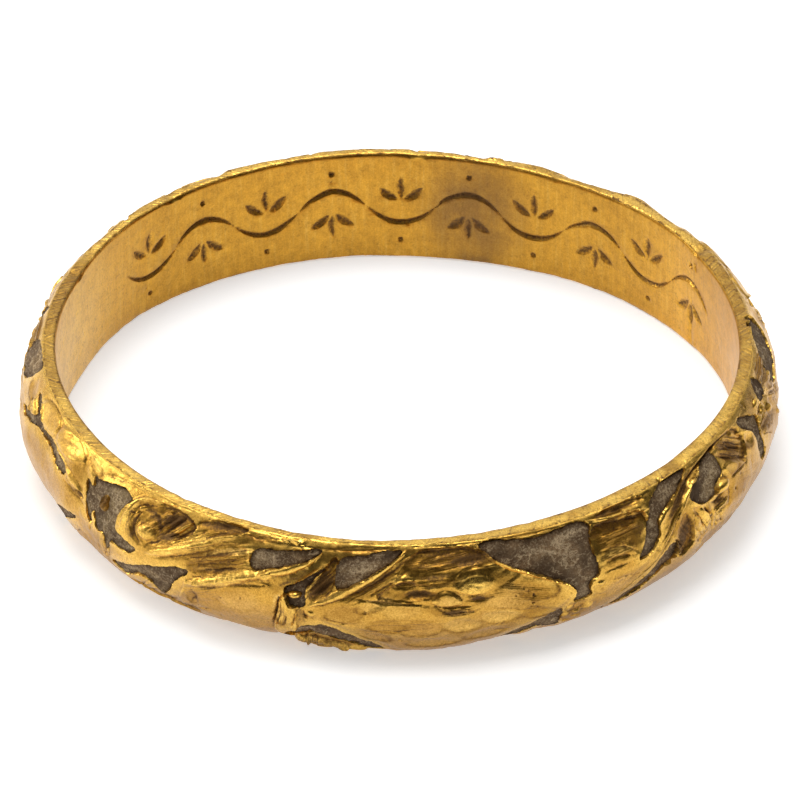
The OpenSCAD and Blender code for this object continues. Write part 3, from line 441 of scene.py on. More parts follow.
# Colour patches: angle, height, half length, half width, turn in degrees, strength; first dark ones, painted
# shade and dark reflections with some tarnish, then pale ones, painted reflections
DARK_PATCHES = (
    (272, 0.12, 0.9, 0.1, -2, 0.35), (271.6, -0.22, 0.9, 0.05, -4, 0.4), (280, -0.24, 0.6, 0.06, 4, 0.4),
    (286.4, -0.8, 0.3, 0.14, 20, 0.5), (265.8, 0.6, 0.7, 0.16, 14, 0.45), (290, 0.1, 0.5, 0.3, -20, 0.35),
    (262, 0, 0.3, 0.3, 0, 0.35), (245.6, 0, 0.6, 0.12, 24, 0.35), (306, -0.1, 0.7, 0.06, -6, 0.4),
    (200, 0.1, 2.2, 0.9, 0, 0.4), (212, 0.9, 0.8, 0.3, 0, 0.3), (279, 1.26, 1.5, 0.3, 3, 1),
    (259.4, 0.75, 0.34, 0.55, -25, 0.8), (273, 0.47, 0.7, 0.16, 0, 0.85), (241.6, 1.4, 0.8, 0.2, 8, 0.9),
    (304.6, 1.06, 0.7, 0.34, 0, 0.85), (305.8, 0.6, 0.75, 0.3, 0, 0.3), (306, 1.5, 0.95, 0.1, 0, 0.8),
    (318.4, 1.14, 0.9, 0.17, 32, 0.95), (326.5, 1.46, 1.2, 0.07, 6, 0.8), (333.4, 1.1, 0.9, 0.36, -34, 0.85),
    (349.4, 1.3, 0.34, 0.28, 0, 1), (234, 1.26, 0.5, 0.26, 10, 1), (231.4, 1, 0.34, 0.26, 25, 0.9),
    (227.5, 0.5, 0.3, 0.2, -40, 0.6), (238.6, -0.6, 0.22, 0.4, -20, 0.45), (243, 0.74, 1, 0.2, 18, 0.5),
    (318, 0.1, 0.5, 0.7, 0, 1), (268.4, 1, 0.6, 0.12, 36, 0.8), (341, 1.3, 0.8, 0.2, -10, 0.7),
    (355.5, 1.3, 0.9, 0.34, 0, 0.7), (324.1, 0.25, 0.12, 0.26, 0, 0.9), (327, 0.27, 0.26, 0.08, 0, 0.9),
    (291, 1.56, 1.4, 0.06, 0, 0.9), (270, 1.5, 2.2, 0.09, 0, 0.8), (352, 0.4, 1.4, 0.7, 0, 0.5),
    (297.5, -0.9, 0.5, 0.4, 0, 0.4), (236.6, -1.3, 0.5, 0.3, 30, 0.6), (182, 1.2, 0.8, 0.5, 0, 0.3),
    (220.1, 0.86, 0.22, 0.34, 0, 1), (261, 1.35, 1.2, 0.14, 6, 0.6), (250.4, 1.34, 0.9, 0.1, 0, 0.5),
    (254.6, 0.62, 0.7, 0.12, 36, 0.7), (308, 0.9, 0.36, 0.5, 0, 0.7), (276.6, 0, 0.36, 0.12, 0, 0.6),
    (281.8, 0.26, 0.36, 0.08, 0, 0.8), (322.4, 1, 0.3, 0.2, 0, 0.6), (327, 0.24, 0.24, 0.12, 0, 0.8),
    (333, 0.1, 0.7, 0.36, 0, 0.85), (290.6, 0, 0.9, 0.5, -10, 0.3), (262, -0.1, 0.8, 0.4, 0, 0.3),
    (340, 0, 1, 0.9, 0, 0.4), (345.6, 0.62, 0.6, 0.2, -10, 0.6), (220, -0.3, 0.8, 0.2, 0, 0.5),
    (212.6, 0.42, 0.5, 0.1, -20, 0.5), (259, -1.2, 0.8, 0.5, 0, 0.4),
)
# The pale patches are painted reflections on the gold
PALE_PATCHES = (
    (274.8, -0.5, 0.5, 0.22, 0, 0.5), (268.4, -0.5, 0.45, 0.2, 0, 0.5), (284, -0.3, 0.5, 0.2, -6, 0.5),
    (288, 0.4, 0.5, 0.2, -20, 0.4), (281, 0.7, 0.45, 0.2, -10, 0.8), (277.6, 0.3, 0.36, 0.16, 0, 0.8),
    (305, -0.3, 0.7, 0.2, 8, 0.5), (249, -0.4, 0.5, 0.4, 14, 0.3), (202, 0.2, 2.2, 0.55, 0, 0.3),
    (246, -0.6, 1.2, 0.5, 0, 0.55), (275, -0.9, 2.4, 0.6, 0, 0.6), (308, -0.5, 1, 0.5, 20, 0.6),
    (337, 0.2, 1, 0.6, 0, 0.3), (222, -0.5, 1.6, 0.4, 0, 0.4), (190, 0.7, 1, 0.6, 0, 0.15),
    (353, 1.1, 0.4, 0.4, 0, 0.5), (287, 0.1, 1, 0.4, 0, 0.3),
)

# Places packed with dirt: as the colour patches
GRIME_PATCHES = (
    (233.8, 1.26, 0.4, 0.2, 14, 1), (233.4, 0.87, 0.4, 0.12, 26, 1), (227.2, 0.58, 0.1, 0.24, -20, 0.9),
    (225.9, 0.75, 0.12, 0.42, 4, 0.55), (241.4, 1.44, 0.6, 0.12, 8, 0.8), (230.4, 1.14, 0.3, 0.09, 10, 0.7),
    (220.3, 1.42, 0.8, 0.05, 12, 0.7), (220, 0.82, 0.2, 0.32, 0, 0.75), (217.9, 0.06, 0.06, 0.24, 0, 0.7),
    (273.2, 0.52, 0.42, 0.13, 0, 1), (282, 0.28, 0.3, 0.07, -4, 1), (278.6, -0.06, 0.36, 0.1, 0, 0.8),
    (275.6, 0.95, 0.6, 0.07, 4, 0.8), (276, 0.7, 0.55, 0.05, 4, 0.5), (281.2, 1.26, 0.7, 0.2, 4, 0.85),
    (276.4, 1.42, 0.7, 0.08, 2, 0.6), (258.8, 0.62, 0.55, 0.2, 50, 0.95), (254.6, 0.7, 0.6, 0.06, 36, 0.8),
    (268.4, 1, 0.8, 0.06, 38, 0.7), (306, 1.24, 0.8, 0.1, 0, 0.5), (309.4, 0.95, 0.3, 0.2, 20, 0.6),
    (306, 1.5, 0.9, 0.05, 0, 0.6), (317.8, 0, 0.3, 0.62, -20, 0.9), (318.4, 1.1, 0.85, 0.14, 34, 0.9),
    (327, 0.24, 0.2, 0.1, 0, 0.8), (333.6, 1.12, 0.8, 0.3, -34, 0.55), (349.4, 1.28, 0.3, 0.24, 0, 0.9),
    (348, 0.5, 0.8, 0.24, -10, 0.6), (236.6, -1.2, 0.5, 0.2, 30, 0.8), (258.6, -1.32, 0.9, 0.24, -12, 0.55),
    (256.1, -0.32, 0.1, 0.3, 20, 0.6), (212.4, 0.5, 0.4, 0.07, -14, 0.6), (297.6, -0.9, 0.3, 0.3, 0, 0.4),
    (168, 1.4, 1.6, 0.25, -12, 0.5),
)

# Sooty places on the enamel, which also carry painted shade where a cell lies in shadow, and crusted ones
# with a strength below 0: as the colour patches
ENAMEL_PATCHES = (
    (257.6, 1.38, 0.45, 0.13, 10, 1), (269.8, 1.45, 0.5, 0.16, 20, 1), (321.6, 0.95, 0.4, 0.3, 0, 1),
    (321.4, 0.95, 0.3, 0.26, 0, 0.8), (349, 1.3, 0.4, 0.4, 0, 1), (349, 1.3, 0.4, 0.4, 0, 0.9),
    (320.6, 1.52, 0.5, 0.1, 0, 0.7), (301, 0.45, 0.2, 0.5, 0, 0.8), (286, 1.32, 0.9, 0.22, -22, 0.6),
    (294.5, 0.5, 0.9, 0.3, -40, 0.7), (257, 0.8, 0.4, 0.3, 40, 1), (255.2, 0.12, 0.4, 0.35, 0, 1),
    (219.4, 0.3, 0.2, 0.4, 0, 0.5), (232, -0.7, 0.5, 0.2, 0, 0.5), (311, 0.5, 0.2, 0.4, 30, 0.4),
    (260, -0.8, 0.9, 0.12, -20, 0.5), (297.2, 1.36, 0.55, 0.13, 8, -0.95), (294, 1.08, 0.6, 0.07, -20, -0.6),
    (299, 0.8, 0.2, 0.5, 0, 0.6), (290.2, 1.26, 0.5, 0.08, -6, -0.5), (264.5, 1.1, 0.4, 0.2, 20, -0.6),
    (250.4, 1.08, 0.4, 0.14, 0, -0.5), (221.6, 1.1, 0.4, 0.2, 0, -0.4), (316.6, 1.34, 0.35, 0.14, 30, -0.5),
    (227, -0.66, 0.5, 0.1, 20, -0.5), (298.6, -0.2, 0.2, 0.3, 0, -0.6), (326.8, 1.2, 0.3, 0.2, 0, -0.5),
)

# Places that wear keeps bright, which also carry painted highlights on ridges and rims: as the colour patches
CLEAN_PATCHES = (
    (216, 1.42, 0.7, 0.18, -18, 1), (225.2, 0.75, 0.16, 0.5, 6, 0.8), (233.4, 0.44, 0.7, 0.12, 26, 0.9),
    (238.2, 0.95, 0.6, 0.22, 25, 0.7), (243.4, 0.24, 1.3, 0.17, 26, 0.9), (253.4, 1.54, 0.5, 0.1, 0, 1),
    (197.6, 1.26, 0.3, 0.26, 0, 0.8), (209.6, 1.3, 0.5, 0.24, 20, 0.7), (210.8, 0.7, 0.4, 0.1, -30, 0.8),
    (322.4, 0, 0.4, 0.6, -60, 0.95), (327, -0.2, 0.4, 0.4, 0, 0.5), (331.4, 0.82, 0.4, 0.18, -10, 0.7),
    (327.9, 0.62, 0.3, 0.14, 6, 0.7), (336.4, 0.9, 0.4, 0.3, -30, 0.4), (281.4, 0.68, 0.5, 0.3, 0, 1),
    (277.8, 0.24, 0.42, 0.22, 0, 0.35), (254, -0.4, 0.25, 0.6, 6, 0.5), (218.2, 0.1, 0.12, 0.2, 0, 0.8),
    (235.8, 1.24, 0.3, 0.12, 50, 0.8), (267.3, 0.99, 0.95, 0.08, 35, 0.9), (254.9, 0.98, 0.8, 0.08, 26, 0.8),
    (273, 0.38, 0.25, 0.04, 0, 1), (349, 0.9, 0.6, 0.14, 0, 0.5), (301, 0.6, 0.08, 0.4, 8, 0.6),
)

# Nicks and dents in the rims: angle, 1 upper or -1 lower, width and depth in mm
NICKS = (
    (131, 1, 0.5, 0.05), (86.5, 1, 0.5, 0.05), (28.4, 1, 0.35, 0.05), (202, -1, 0.8, 0.05),
    (254, -1, 0.9, 0.05), (335, -1, 0.8, 0.05), (352, -1, 0.6, 0.05), (233, 1, 0.4, 0.02),
    (253, 1, 0.5, 0.03), (292, 1, 0.4, 0.02), (321.3, 1, 0.6, 0.015), (160, 1, 0.4, 0.03),
    (62, 1, 0.4, 0.02),
)

# Brown lengths of the upper rim: angle, half length in degrees, strength
RIM_PATCHES = (
    (186, 14, 0.65), (207, 9, 0.35), (247, 6, 0.35), (254, 3.5, 0.5), (166, 14, 0.8), (178, 5, 0.5),
    (341, 8, 0.3), (352, 9, 0.6), (14, 20, 0.75), (352, 9, 0.2), (60, 10, 0.5), (130, 12, 0.3),
    (300, 2.5, 0.3), (100, 10, 0.25), (320.8, 2.4, 0.6), (251, 3, 0.6),
)

# Stains on the wall of the hole: angle, height, half length, half width, strength
STAINS = (
    (76.5, 0, 1.45, 1.8, 0.75), (69, 0.4, 0.5, 0.8, 0.4), (80, -0.6, 0.5, 0.7, 0.4),
    (76, -1.45, 0.45, 0.22, 1),
)

# Running stem with sprays of leaves in the hole: first and last angle, number of waves and rise in mm
STEM_FROM, STEM_TO, STEM_WAVES, STEM_RISE = 24.0, 143.0, 5, 0.5
# Spray: length of a leaf in mm, lean of the outer two in degrees, start below the middle and bow in mm
SPRAY_LEAF, SPRAY_LEAN, SPRAY_FOOT, SPRAY_BOW = 0.74, 54.0, 0.14, 0.06
# Tick beyond each bend: half its width in degrees, height of its middle and fall of its ends in mm
TICK_HALF, TICK_TOP, TICK_FALL = 0.4, 1.04, 0.06
# Widths in mm of the cuts of the stem, a tick and a leaf
STEM_WIDTH, TICK_WIDTH, LEAF_WIDTH = 0.085, 0.1, 0.13
# Line where the hoop was closed and a crack above it: width, depth, [(degrees from SEAM_ANGLE, height)]
SEAM_ANGLE = 29.5
SEAM = ((0.045, 0.03, [(0, 0.1), (0.3, -0.8), (-0.1, -1.55)]),
        (0.05, 0.06, [(-1, 1.25), (-1.2, 1.1), (-1.5, 0.98)]))
# Random scratches and dents in the hole: how many, and the heights between which they start
BORE_SCRATCHES, BORE_DENTS, BORE_HEIGHTS = 90, 70, (-1.4, 1.4)

# Rows of the band's mesh over the face, each rim and the hole, and columns round it
FACE_ROWS, RIM_ROWS, BORE_ROWS, COLUMNS = 128, 10, 76, 2048
BAND_TRIANGLES = 192000
# Edges that bend more than this stay crisp
SHARP_DEGREES = 38
# Keeps a width from being 0
TINY = 1e-6

# Random shift of the drawing in mm: slow on the near half and on the far half, quick, and the room for it
WANDER_NEAR, WANDER_FAR, TREMBLE, WANDER_ROOM = 0.007, 0.05, 0.006, 0.15
# Random relief in mm: slow over the face, coarse and fine over all, slow and streaked in the hole
UNEVEN, SKIN, FINE_SKIN, BORE_UNEVEN, BORE_STREAKS = 0.006, 0.0035, 0.0022, 0.003, 0.0012
# Random shift of a groove in the hole, in mm
GROOVE_WOBBLE = 0.012

# In mm: step at a leaf's outline, wobble of a cell's outline, width of its wall, roughness of its floor
LEAF_STEP, CELL_WOBBLE, CELL_WALL, CELL_ROUGH = 0.006, 0.012, 0.035, 0.012
# Ground, in mm: where its edge begins and ends inside the outline, height where its slant begins, roughness
GROUND_EDGE, GROUND_START, GROUND_ROUGH = (-0.01, 0.03), 0.02, 0.01
# Cuts: share of the depth that wear has left, depth in mm of one full of dirt, and where on its flanks that
# begins and is full
MARK_LEFT, MARK_FULL, MARK_DIRT = 0.65, 0.08, (0.2, 0.75)
# Scoops: bend, depth in mm of one whose edge shows fully, width of the edge, which is painted shade, and its
# share on the upper side
SCOOP_BEND, SCOOP_FULL, SCOOP_EDGE, SCOOP_TOP = 0.16, 0.045, 0.035, 0.05
# Hatches: cuts in a row, how much deeper every second one is, and how far apart their fine lines are read
HATCH_CUTS, HATCH_DEEPER, HATCH_APART = 400, 0.8, 7.3
# Random scratches on the face: how many, and the spans of their heights, lengths, widths and depths in mm
SCRATCHES, SCRATCH_HEIGHTS = 260, (-1.4, 1.5)
SCRATCH_LENGTHS, SCRATCH_WIDTHS, SCRATCH_DEPTHS = (0.15, 0.7), (0.02, 0.035), (0.006, 0.016)
# How much of the relief at the face's edge is left in the first rows of each rim
RIM_FADE = (0.75, 0.5, 0.25)

# Rows and columns over which narrow and wide hollows are measured
NARROW_CELLS, WIDE_CELLS = (7, 7), (22, 22)
# In mm: where narrow dirt begins and is full, where wide dirt, wide shade and high brightness are full
NARROW_HOLLOW, WIDE_FULL, SHADE_FULL, HIGH_FULL = (0.004, 0.032), 0.14, 0.1, 0.06
# Dirt in narrow and wide hollows; dirt with painted shade on cells' walls and on all walls and cuts; painted
# shade at the edges of scoops
NARROW_DIRT, WIDE_DIRT, CELL_DIRT_AND_SHADE, WALL_DIRT_AND_SHADE, SCOOP_EDGE_SHADE = 0.72, 0.4, 0.8, 0.9, 0.42
# Dirt rubbed off bright places, and shade in wide hollows
RUBBED_OFF, HOLLOW_SHADE = 0.3, 0.5
# How much a scoop's tone darkens, pales and brightens it
TONE_DARK, TONE_PALE, TONE_BRIGHT = 0.5, 0.9, 0.45
# Pale gold low on the face, a painted reflection of the floor; bright gold along its upper edge, a painted
# highlight; and bright gold on its high places, from wear and a painted highlight
LOWER_PALE, EDGE_BRIGHT, HIGH_BRIGHT = 0.5, 0.6, 0.6
# Hole: dirt in its cuts and the depth in mm where it is full, and brightness and greying of its left end, a
# painted reflection
CUT_DIRT, CUT_FULL, LEFT_BRIGHT, LEFT_STAIN = 0.8, 0.05, 0.7, 0.25
# Painted shade: how much darker the far stretch of the hole is, and the share of that at its right end
FAR_WALL_SHADE, RIGHT_WALL_SHADE = 0.6, 0.85
# Rims: shade at their edges and its spread, dirt where darkest, and distance and slant of the scored lines
RIM_EDGE, RIM_SPREAD, RIM_DIRT, RIM_LINES, RIM_SLANT = 0.6, 0.5, 0.6, 0.42, 0.35

# Enamel, in mm: step of its grid, reach under the cell's wall and floor, gap to the rim, room round it
ENAMEL_STEP, ENAMEL_OVER, ENAMEL_UNDER, ENAMEL_RIM, ENAMEL_ROOM = 0.045, 0.04, 0.03, 0.03, 0.1
# Its top, in mm: most shift of a body, fine bumps, slow swell, rise at the walls and how fast that fades
ENAMEL_SHIFT, ENAMEL_BUMPS, ENAMEL_SWELL, ENAMEL_RISE, ENAMEL_FADE = 0.02, 0.011, 0.014, 0.02, 0.05
# Its least thickness and its least depth below the gold, in mm
ENAMEL_THIN, ENAMEL_BELOW = 0.05, 0.02
# Its colours: spread of the tint, width in mm of the edge darkened by dirt and painted shade, and soot on the
# far half
TINT_SPREAD, ENAMEL_EDGE, FAR_SOOT = 0.05, 0.11, 0.5

# Half the floor's side and the point that the camera and the lights aim at, in metres
FLOOR_HALF, LOOK_AT = 0.6, (0, 0, 0.0016)
# Surroundings: glow of the dim and the bright side, and the way to the bright side
SKY_GLOW, SKY_TOWARD = (0.04, 1.06), (-0.35, 0.6, 0.72)
# Soft lights: name, place and size in metres, power in watts, colour
LIGHTS = (
    ("top_softbox", (-0.04, 0.08, 0.4), (0.26, 0.2), 0.9, (1.0, 1.0, 1.0)),
    ("left_softbox", (-0.36, 0.1, 0.16), (0.12, 0.16), 0.32, (1.0, 0.98, 0.95)),
)
# Camera: roll in degrees, and how far it stands to its right and down, in mm
CAMERA_ROLL, CAMERA_RIGHT, CAMERA_DOWN = 0.11, 0.071, 0.246


class RingSizes(bpy.types.PropertyGroup):
    """Sizes of the hoop. They start from the frame."""

    bore_radius: FloatProperty(
        name="Hole radius", description="Radius of the finger hole",
        default=BORE["dims"]["r_mm"] * MM, unit="LENGTH", subtype="DISTANCE", precision=5)
    crown_radius: FloatProperty(
        name="Outer radius", description="Radius of the hoop at the middle of its height",
        default=BAND_BOX[1][0], unit="LENGTH", subtype="DISTANCE", precision=5)
    height: FloatProperty(
        name="Height", description="Height of the hoop along the finger",
        default=BAND_BOX[1][2] - BAND_BOX[0][2], unit="LENGTH", subtype="DISTANCE", precision=5)
    rim_width: FloatProperty(
        name="Rim width", description="Width of the flat rim at each edge",
        default=0.35 * MM, unit="LENGTH", subtype="DISTANCE", precision=5)
    edge_break: FloatProperty(
        name="Edge break", description="Width of the break along both edges of the hole",
        default=0.05 * MM, unit="LENGTH", subtype="DISTANCE", precision=5)


class RingCarving(bpy.types.PropertyGroup):
    """Depths of the carving."""

    cell_depth: FloatProperty(
        name="Cell depth", description="Depth of the cells that hold the enamel",
        default=0.24 * MM, unit="LENGTH", subtype="DISTANCE", precision=5)
    enamel_sunk: FloatProperty(
        name="Enamel level", description="How far the enamel lies below the gold",
        default=0.065 * MM, unit="LENGTH", subtype="DISTANCE", precision=5)
    engraving: FloatProperty(
        name="Engraving depth", description="Depth of the ornament in the hole",
        default=0.085 * MM, unit="LENGTH", subtype="DISTANCE", precision=5)
    cuts: FloatProperty(
        name="Cuts", description="Depth of the tool marks, as a share of the table",
        default=1.0, min=0.0, max=2.0)
    wear_seed: IntProperty(
        name="Wear", description="Seed of the scratches, grain and unevenness", default=11, min=0)


class RingColours(bpy.types.PropertyGroup):
    """Colours of the gold, the grime and the enamel."""

    gold: FloatVectorProperty(
        name="Gold", description="Polished gold on the high places",
        default=(0.62, 0.335, 0.055), subtype="COLOR", min=0, max=1)
    # Deeper gold: painted shade in hollows and dark places, random tone, and dull specks
    shade_and_dull_gold: FloatVectorProperty(
        name="Deep gold", description="Duller gold in the hollows of the leaves",
        default=(0.34, 0.17, 0.027), subtype="COLOR", min=0, max=1)
    # Pale gold: painted reflections of the floor and of light on facets, and pale scoops
    pale_sheen_gold: FloatVectorProperty(
        name="Pale gold", description="Pinkish gold on the bulge",
        default=(0.58, 0.345, 0.13), subtype="COLOR", min=0, max=1)
    # Bright gold: wear and painted highlights on rims and high places, and streaks in the hole
    rim_gold: FloatVectorProperty(
        name="Rim gold", description="Clean gold on the rims and the high places",
        default=(1.0, 0.64, 0.135), subtype="COLOR", min=0, max=1)
    wall_gold: FloatVectorProperty(
        name="Hole gold", description="Deep yellow gold on the wall of the hole",
        default=(0.95, 0.5, 0.055), subtype="COLOR", min=0, max=1)
    # Brown of dirt, also painted shade on walls, at scoop edges and at the enamel's edge
    grime_and_shade: FloatVectorProperty(
        name="Grime", description="Brown dirt in the cuts",
        default=(0.13, 0.06, 0.012), subtype="COLOR", min=0, max=1)
    # Tarnish of the stains, also painted greying at the left end of the hole
    tarnish_and_sheen: FloatVectorProperty(
        name="Tarnish", description="Dull grey brown stain in the hole",
        default=(0.2, 0.11, 0.045), subtype="COLOR", min=0, max=1)
    enamel_crust: FloatVectorProperty(
        name="Crust", description="Pale crust and veins on the enamel",
        default=(0.52, 0.39, 0.23), subtype="COLOR", min=0, max=1)
    enamel_grey: FloatVectorProperty(
        name="Grey enamel", description="Decayed enamel in the grey cells",
        default=(0.3, 0.21, 0.1), subtype="COLOR", min=0, max=1)
    enamel_brown: FloatVectorProperty(
        name="Brown enamel", description="Decayed enamel in the brown cells",
        default=(0.24, 0.14, 0.07), subtype="COLOR", min=0, max=1)


class RingStage(bpy.types.PropertyGroup):
    """Floor, light and camera."""

    floor: FloatVectorProperty(
        name="Floor", description="Colour of the floor",
        default=(0.82, 0.82, 0.82), subtype="COLOR", min=0, max=1)
    glow: FloatProperty(
        name="Glow", description="Light that the floor gives out", default=0.46, min=0.0)
    camera_height: FloatProperty(
        name="Camera angle", description="Angle of the camera above the floor",
        default=math.radians(34.24), subtype="ANGLE", unit="ROTATION")
    camera_distance: FloatProperty(
        name="Camera distance", description="Distance of the camera from the middle of the ring",
        default=0.223, unit="LENGTH", subtype="DISTANCE")
    lens: FloatProperty(
        name="Lens", description="Focal length in millimetres", default=382.9, min=10.0)


def cut_arc(half_height, sag):
    """Radius of the arc that rises by sag over a half chord: (half_height squared + sag squared) / 2 sag."""
    return (half_height ** 2 + sag ** 2) / (2 * sag)


def around(angle, rows):
    """Amount at an angle, in straight lines between the angles of a table."""
    return np.interp(angle, *np.array(rows, float).T, period=360)


class Hoop:
    """Sizes in mm, the rows of the closed section and the columns round it.

    The section runs up the face, inwards over the upper rim, down the hole and outwards under the lower rim.
    """

    def __init__(self, sizes):
        self.bore = sizes.bore_radius / MM
        self.crown = sizes.crown_radius / MM
        self.half = sizes.height / MM / 2
        rim, edge = sizes.rim_width / MM, sizes.edge_break / MM
        self.arc = cut_arc(self.half, self.crown - self.bore - rim)
        swing = math.asin(self.half / self.arc)
        turn = np.linspace(-swing, swing, FACE_ROWS)
        face = np.stack([self.crown - self.arc + self.arc * np.cos(turn), self.arc * np.sin(turn)], 1)
        over = np.linspace(face[-1, 0], self.bore + edge, RIM_ROWS + 1)[1:]
        upper = np.stack([over, np.full(RIM_ROWS, self.half)], 1)
        down = np.linspace(self.half - edge, edge - self.half, BORE_ROWS)
        wall = np.stack([np.full(BORE_ROWS, self.bore), down], 1)
        lower = upper[::-1] * [1, -1]
        line = np.concatenate([face, upper, wall, lower])
        for _ in range(2):
            line = (np.roll(line, 1, 0) + 2 * line + np.roll(line, -1, 0)) / 4
        along = np.roll(line, -1, 0) - np.roll(line, 1, 0)
        along /= np.linalg.norm(along, axis=1)[:, None]
        self.line = line
        self.normal = np.stack([along[:, 1], -along[:, 0]], 1)
        self.face = slice(0, FACE_ROWS)
        self.upper = slice(FACE_ROWS, FACE_ROWS + RIM_ROWS)
        self.wall = slice(FACE_ROWS + RIM_ROWS, FACE_ROWS + RIM_ROWS + BORE_ROWS)
        self.lower = slice(-RIM_ROWS, None)
        self.face_s = turn * self.arc
        self.wall_z = down
        self.angles = np.arange(COLUMNS) * 360 / COLUMNS

    def across(self, angle):
        """Length round the crown in mm: angle times crown radius."""
        return np.radians(angle) * self.crown

    def climb(self, height):
        """Length up the face from its middle in mm: arc times the arc sine of height / arc."""
        return self.arc * np.arcsin(np.clip(np.asarray(height, float) / self.arc, -1, 1))

    def worn(self, angle, s):
        """Radial wear in mm: upper or lower t^2 on either side plus middle (1 - t^2), t from -1 to 1."""
        t = np.clip(s / self.face_s[-1], -1, 1)
        upper, middle, lower = (around(angle, rows) for rows in (UPPER_EDGE, MIDDLE, LOWER_EDGE))
        return np.where(t > 0, upper, lower) * t ** 2 + middle * (1 - t ** 2)

    def off_round(self):
        """Outward shift of the wall in mm, a straight mix from its foot to its top, as rows and columns."""
        top, foot = (around(self.angles, rows) for rows in (HOLE_TOP, HOLE_FOOT))
        share = (self.wall_z[:, None] / self.half + 1) / 2
        return foot * (1 - share) + top * share

    def flat(self, points):
        """Table points (angle, height, angle, height) as mm along and up the unrolled face."""
        p = np.reshape(np.asarray(points, float), (-1, 2))
        return np.stack([self.across(p[:, 0]), self.climb(p[:, 1])], 1)

    def window(self, low, high, pad):
        """Rows and columns of the face that hold a box of flat points, with their flat coordinates."""
        step = 360 / COLUMNS
        first = math.floor(math.degrees((low[0] - pad) / self.crown) / step)
        last = math.ceil(math.degrees((high[0] + pad) / self.crown) / step)
        columns = np.arange(first, last + 1)
        rows = np.nonzero((self.face_s > low[1] - pad) & (self.face_s < high[1] + pad))[0]
        grid = np.ix_(rows, columns % COLUMNS)
        return grid, self.across(columns * step)[None, :], self.face_s[rows][:, None]


def blurred(field, sizes):
    """The field damped by exp(-2 (fx sx)^2 - 2 (fy sy)^2), sizes the lengths left, in rows and columns."""
    fy = np.fft.fftfreq(field.shape[0])[:, None] * sizes[0]
    fx = np.fft.rfftfreq(field.shape[1])[None, :] * sizes[1]
    return np.fft.irfft2(np.fft.rfft2(field) * np.exp(-2 * (fx ** 2 + fy ** 2)), field.shape)


def grain(shape, sizes, seed):
    """Even random relief of standard deviation 1 that joins up at its edges: blurred white noise."""
    out = blurred(np.random.default_rng(seed).standard_normal(shape), sizes)
    return (out - out.mean()) / out.std()


def ramp(value, low, high):
    """0 below low, 1 above high, and 3t^2 - 2t^3 between them."""
    t = np.clip((value - low) / (high - low), 0, 1)
    return t * t * (3 - 2 * t)


def portion(value, low, high):
    """0 below low, 1 above high, and a straight line between them."""
    return np.clip((value - low) / (high - low), 0, 1)


def rounded(outline, passes=1, closed=True):
    """Corners cut at a quarter and three quarters of each side, as often as passes says."""
    p = np.asarray(outline, float)
    for _ in range(passes):
        q = np.roll(p, -1, 0) if closed else p[1:]
        a = p if closed else p[:-1]
        cut = np.stack([0.75 * a + 0.25 * q, 0.25 * a + 0.75 * q], 1).reshape(-1, 2)
        p = cut if closed else np.concatenate([p[:1], cut[1:-1], p[-1:]])
    return p


def to_segment(a, b, x, y):
    """Distance of points from a segment, and the share t of its length where they meet it."""
    d = b - a
    t = np.clip(((x - a[0]) * d[0] + (y - a[1]) * d[1]) / (d @ d), 0, 1)
    return np.hypot(x - a[0] - t * d[0], y - a[1] - t * d[1]), t


def inside_distance(outline, x, y):
    """Distance from a closed outline, above 0 inside it, where the count of sides to the right is odd."""
    best = np.full(np.broadcast(x, y).shape, np.inf)
    odd = np.zeros(best.shape, bool)
    for a, b in zip(outline, np.roll(outline, -1, 0)):
        best = np.minimum(best, to_segment(a, b, x, y)[0])
        if a[1] != b[1]:
            crossing = (b[0] - a[0]) * (y - a[1]) / (b[1] - a[1]) + a[0]
            odd ^= ((a[1] > y) != (b[1] > y)) & (x < crossing)
    return np.where(odd, best, -best)


def line_distance(points, x, y):
    """Distance from an open line, and the share t of its length at the nearest place."""
    length = np.linalg.norm(np.diff(points, axis=0), axis=1)
    start = np.concatenate([[0], np.cumsum(length)]) / length.sum()
    best = np.full(np.broadcast(x, y).shape, np.inf)
    share = np.zeros(best.shape)
    for i, (a, b) in enumerate(zip(points[:-1], points[1:])):
        d, t = to_segment(a, b, x, y)
        nearer = d < best
        best = np.where(nearer, d, best)
        share = np.where(nearer, start[i] + t * (start[i + 1] - start[i]), share)
    return best, share


def oval(x, y, centre, half, turn):
    """Squared reach from the centre of a turned oval: 0 at its centre and 1 at its edge."""
    c, s = math.cos(math.radians(turn)), math.sin(math.radians(turn))
    dx, dy = x - centre[0], y - centre[1]
    return ((c * dx + s * dy) / half[0]) ** 2 + ((c * dy - s * dx) / half[1]) ** 2


